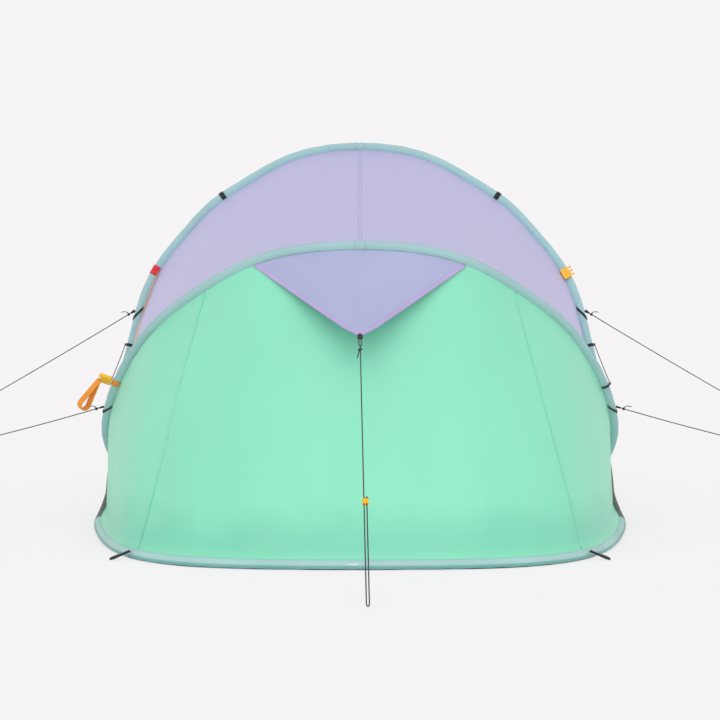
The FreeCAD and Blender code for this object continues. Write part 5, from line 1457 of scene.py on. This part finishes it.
# ---- Peg loops ---------------------------------------------------------------------------------
# Four loops of black webbing, sewn under the floor tapes at the corners, take the pegs.
PEG_CORNERS = (("low_end", tall, 0.585, -1), ("door_end", low, 0.585, 1))
SEWN_FURTHER_IN = 0.036
SEWN_FURTHER_OUT = 0.0040
PEG_REACH = 0.056
EYE_HEIGHT, SEWN_HEIGHT = 0.0068, 0.0215
PEG_EYE_RADIUS = 0.0085
PEG_WALL, PEG_DEPTH = 0.0095, 0.0060
for end_name, hoop, corner_x, end_side in PEG_CORNERS:
    corner = halved(0.0, hoop.crossing * 0.8, lambda t: hoop.at(t)[0][0] < corner_x)
    point, along, _, across = hoop.frame(np.array([corner]))
    outward = unit(across[0] * LEVEL) * (-1 if hoop is tall else 1)
    edge = point[0] * LEVEL + outward * SHEET_GAP
    eye = edge + unit(outward + np.array([0, 1.2 * end_side, 0])) * PEG_REACH
    foot = edge - along[0] * SEWN_FURTHER_IN + outward * SEWN_FURTHER_OUT
    eye[2], foot[2] = EYE_HEIGHT, SEWN_HEIGHT
    for side, side_name in SIDES:
        root, tip = np.array((foot, eye)) * (side, 1, 1)
        way = unit(tip - root)
        over = unit(np.cross(UPRIGHT, way))
        path = strap_teardrop(root, way, over, np.linalg.norm(tip - root), PEG_EYE_RADIUS, 0.0036)
        strap_band("peg_loop_%s_%s" % (end_name, side_name), path, np.cross(way, over), PEG_WALL,
                   PEG_DEPTH, black_webbing, "black_webbing", stands_for=["peg_loops_" + end_name])

# ---- Zips --------------------------------------------------------------------------------------
# A coil zip closes the right side of each door. Half of its woven tape is sewn to the tent and half
# to the door, and a metal slider is parked at its foot.
ZIP_HALF = 0.0078
COIL_BARS = (0.0020, 0.0030, 0.00062)
zip_cloth = woven_material("zip_tape", colour(96, 104, 104), 900, 0.68, 0.2, depth=0.0002,
                           patch=14.0, drift=0.07, dark_share=0.80)
coil_plastic = solid_material("zip_coil", colour(82, 90, 90), 70.0, 0.06, (1500.0, 3.0),
                              (0.22, 0.46), (0.12, 0.0001))
ZIPS = (("outer_zip", door_end_skin, DOOR_FOOT, DOOR_TOP, 1, "outer_door", DOOR_TOP_GAP,
         SKIN_START),
        ("inner_zip", inner_door_skin, INNER_DOOR_FOOT, INNER_DOOR_TOP, -1, "inner_door", DOOR_GAP,
         INNER_START))
for name, skin, foot, top, face, door_body, top_gap, first in ZIPS:
    for half, body, inward, low_z, high_z in (
            ("fixed_half", "tent", 1, foot[1] - 0.026, top[1]),
            ("door_half", door_body, -1, foot[1] + DOOR_GAP, top[1] - top_gap)):
        label = "%s_%s" % (name, half)
        heights = np.linspace(low_z, high_z, 130)
        u, v = leaning_path(skin, foot, top, 1, inward * (ZIP_HALF / 2 + 0.0004), heights, 0.5,
                            first)
        seam_strip(label + "_tape", skin, u, v, zip_cloth, "zip_cloth", body, ZIP_HALF,
                   face * 0.0008, face * 0.0006, [label])
        u, v = leaning_path(skin, foot, top, 1, inward * 0.0016, heights, 0.5, first)
        point, normal = skin.at(u, v, np.full(len(u), face * 0.0019))
        row_bars(label + "_coil", [(point, normal * face)], coil_plastic, "zip_cloth", body,
                 COIL_BARS, across=True)
slider_metal = solid_material("zip_slider_metal", colour(150, 152, 156), 90.0, 0.1, (500.0, 3.0),
                              (0.25, 0.5), metal=0.9)
dress(slider_metal, "outer_zip_slider", "inner_zip_slider", "outer_zip_puller")

# ---- Floor, light and camera -------------------------------------------------------------------
# A pale seamless floor under soft studio light: an even white room, with one broad lamp high up on
# the side of the low end.
FLOOR_WHITE = colour(246, 244, 245)
floor_mesh = bpy.data.meshes.new("studio_floor")
floor_mesh.from_pydata([(-60, -30, 0), (60, -30, 0), (60, 90, 0), (-60, 90, 0)], [], [(0, 1, 2, 3)])
studio_floor = new_object("studio_floor", floor_mesh)
floor_paint, shader, node = new_material("studio_floor_paint")
fill(shader, {"Base Color": (0.962, 0.944, 0.952, 1.0), "Roughness": 0.9,
              "Specular IOR Level": 0.1})
seen = node("ShaderNodeLightPath").outputs
part_seen = node("ShaderNodeMath", {0: seen["Is Camera Ray"], 1: 0.70}, operation="MULTIPLY")
even = node("ShaderNodeEmission", {"Color": colour(249, 247, 248)})
mixed = node("ShaderNodeMixShader", {0: part_seen.outputs["Value"], 1: shader.outputs["BSDF"],
                                     2: even.outputs["Emission"]})
fill(floor_paint.node_tree.nodes["Material Output"], {"Surface": mixed.outputs["Shader"]})
floor_mesh.materials.append(floor_paint)

# The room lights the cloth a little less brightly than it is seen.
ROOM_LIGHT = (0.72, 0.72, 0.72, 1.0)
room = bpy.data.worlds.new("studio_room")
bpy.context.scene.world = room
room.use_nodes = True
node = node_maker(room.node_tree)
rays = node("ShaderNodeLightPath").outputs
seen = rays["Is Camera Ray"]
for ray in ("Is Glossy Ray", "Is Transmission Ray"):
    seen = node("ShaderNodeMath", {0: seen, 1: rays[ray]}, operation="MAXIMUM").outputs["Value"]
level = node("ShaderNodeMix", {"Factor": seen, "A": ROOM_LIGHT, "B": FLOOR_WHITE}, data_type="RGBA")
fill(room.node_tree.nodes["Background"], {"Color": level.outputs["Result"], "Strength": 1.0})

lamp = bpy.data.lights.new("broad_lamp", "SUN")
lamp.energy = 1.0
lamp.angle = math.radians(60)
lamp_stand = new_object("broad_lamp", lamp)
lamp_stand.rotation_euler = (math.radians(58), math.radians(1), 0)

VIEW_DISTANCE, VIEW_HEIGHT = 7.0, 0.773
VIEW_DIP = 2.55                 # degrees that the view looks down
LENS = 123.55                   # mm, on the 36 mm frame
camera = bpy.data.cameras.new("camera")
camera.sensor_width = 36.0
camera.lens = LENS
camera.clip_end = 200.0
viewer = new_object("camera", camera)
viewer.location = (0.0, -VIEW_DISTANCE, VIEW_HEIGHT)
viewer.rotation_euler = (math.radians(90 - VIEW_DIP), 0, 0)
bpy.context.scene.camera = viewer
bpy.context.scene.view_settings.view_transform = "Standard"
